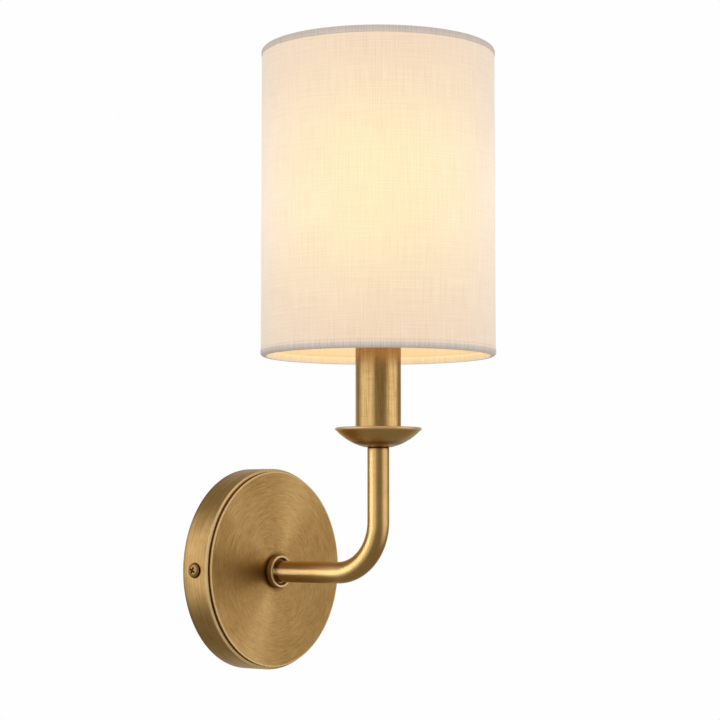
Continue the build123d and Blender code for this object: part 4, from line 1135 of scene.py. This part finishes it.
def add_world():
    """White to the camera, soft and even to cloth, and a dark room with softboxes to metal and glass.

    Each softbox is bright within a cone about its direction and fades out to a wider cone.
    """
    s = settings().studio
    world = bpy.data.worlds.new("Studio")
    bpy.context.scene.world = world
    world.use_nodes = True
    world.cycles.sampling_method = "NONE"
    tree = world.node_tree
    tree.nodes.clear()
    direction = put(tree, "ShaderNodeTexCoord").outputs["Generated"]
    height = put(tree, "ShaderNodeSeparateXYZ", {0: direction}).outputs[2]
    towards = Vector(s.camera_place).to_2d().normalized()
    room = spread(tree, height, -0.5, 0.2, s.room_low, s.room)
    total = 0.0
    for turn, rise, inner, outer, strength in SOFTBOXES:
        angle, rise = np.arctan2(towards.y, towards.x) + radians(turn), radians(rise)
        aim = (np.cos(angle) * np.cos(rise), np.sin(angle) * np.cos(rise), np.sin(rise))
        facing = vectors(tree, "DOT_PRODUCT", direction, aim, output=1)
        bright = spread(tree, facing, np.cos(radians(outer)), np.cos(radians(inner)), 0.0, strength)
        total = plus(tree, total, bright)

    def background(tint, strength):
        made = put(tree, "ShaderNodeBackground", {"Color": (*tint, 1.0), "Strength": strength})
        return made.outputs[0]

    boxes, room = background((1.0, 0.985, 0.96), total), background((1.0, 0.86, 0.6), room)
    studio = put(tree, "ShaderNodeAddShader", {0: boxes, 1: room}).outputs[0]
    even = background((1.0, 0.99, 0.98), s.sky)
    white = background((0.99, 0.99, 0.99), 1.0)
    path = put(tree, "ShaderNodeLightPath").outputs
    seen = put(tree, "ShaderNodeMixShader", {0: path["Is Glossy Ray"], 1: even, 2: studio}).outputs[0]
    seen = put(tree, "ShaderNodeMixShader", {0: path["Is Camera Ray"], 1: seen, 2: white}).outputs[0]
    put(tree, "ShaderNodeOutputWorld", {"Surface": seen})


def add_studio():
    """Camera, lamps, floor, world and render settings."""
    scene = bpy.context.scene
    s, bulb = settings().studio, settings().bulb
    camera_data = bpy.data.cameras.new("Camera")
    camera_data.lens = s.lens
    camera_data.sensor_width = 36
    camera = bpy.data.objects.new("Camera", camera_data)
    camera.location = s.camera_place
    camera.rotation_euler = s.camera_turn
    scene.collection.objects.link(camera)
    scene.camera = camera

    add_lamp("Key", "AREA", (-1.5, -0.8, 1.1), s.key, 0.9)
    add_lamp("Fill", "AREA", (1.3, -1.2, 0.5), s.fill, 1.2)
    lamp = add_lamp("Bulb light", "POINT", tuple(LAMP + bulb.level * UP), bulb.watts, 0.012)
    lamp.data.color = bulb.lamp
    add_arm_light(s.arm_light)
    dim_lining()
    add_floor(s.floor_level)
    add_world()
    scene.view_settings.view_transform = "Standard"
    scene.render.film_transparent = False
    scene.cycles.use_denoising = True
    scene.cycles.max_bounces = 10
    scene.cycles.sample_clamp_indirect = 1.5
    scene.cycles.caustics_reflective = scene.cycles.caustics_refractive = False


# ---- operators ----
class WALLLIGHT_OT_canopy(bpy.types.Operator):
    """Pressed canopy pan, its face disc and the two side screws"""

    bl_idname = "walllight.canopy"
    bl_label = "Canopy"

    def execute(self, context):
        add_pan()
        add_face()
        add_screws()
        return {"FINISHED"}


class WALLLIGHT_OT_arm(bpy.types.Operator):
    """Collar, bent tube arm and drip dish"""

    bl_idname = "walllight.arm"
    bl_label = "Arm and dish"

    def execute(self, context):
        add_collar()
        add_tube()
        add_dish()
        return {"FINISHED"}


class WALLLIGHT_OT_sleeve(bpy.types.Operator):
    """Straight candle sleeve over the lampholder"""

    bl_idname = "walllight.sleeve"
    bl_label = "Candle sleeve"

    def execute(self, context):
        add_sleeve()
        return {"FINISHED"}


class WALLLIGHT_OT_shade(bpy.types.Operator):
    """Linen cover with rolled hems over a stiff lining"""

    bl_idname = "walllight.shade"
    bl_label = "Drum shade"

    def execute(self, context):
        add_shade()
        return {"FINISHED"}


class WALLLIGHT_OT_fittings(bpy.types.Operator):
    """The bulb's glass, and finishes of lampholder, bulb, fasteners, wiring and bracket"""

    bl_idname = "walllight.fittings"
    bl_label = "Fittings"

    def execute(self, context):
        add_finishes()
        add_envelope()
        return {"FINISHED"}


class WALLLIGHT_OT_studio(bpy.types.Operator):
    """Pale floor, soft light and the camera"""

    bl_idname = "walllight.studio"
    bl_label = "Studio"

    def execute(self, context):
        add_studio()
        return {"FINISHED"}


class WALLLIGHT_PT_panel(bpy.types.Panel):
    """All settings, and a button for each part."""

    bl_label = "Wall Light"
    bl_idname = "WALLLIGHT_PT_panel"
    bl_space_type = "VIEW_3D"
    bl_region_type = "UI"
    bl_category = "Wall Light"

    def draw(self, context):
        chosen = context.scene.wall_light
        for group in (chosen.brass, chosen.shade, chosen.bulb, chosen.studio):
            box = self.layout.box()
            for name in group.bl_rna.properties.keys():
                if name not in ("rna_type", "name"):
                    box.prop(group, name)
        for operator in OPERATORS:
            self.layout.operator(operator.bl_idname)


OPERATORS = (
    WALLLIGHT_OT_canopy,
    WALLLIGHT_OT_arm,
    WALLLIGHT_OT_sleeve,
    WALLLIGHT_OT_shade,
    WALLLIGHT_OT_fittings,
    WALLLIGHT_OT_studio,
)
GROUPS = (BrassSettings, ShadeSettings, BulbSettings, StudioSettings, WallLightSettings)


def register():
    """Add the settings, the operators and the panel."""
    for part in (*GROUPS, *OPERATORS, WALLLIGHT_PT_panel):
        bpy.utils.register_class(part)
    bpy.types.Scene.wall_light = bpy.props.PointerProperty(type=WallLightSettings)


def unregister():
    """Take them away again."""
    del bpy.types.Scene.wall_light
    for part in reversed((*GROUPS, *OPERATORS, WALLLIGHT_PT_panel)):
        bpy.utils.unregister_class(part)


def main():
    """Build the scene."""
    register()
    for step in OPERATORS:
        group, action = step.bl_idname.split(".")
        getattr(getattr(bpy.ops, group), action)()


if __name__ == "__main__":
    main()
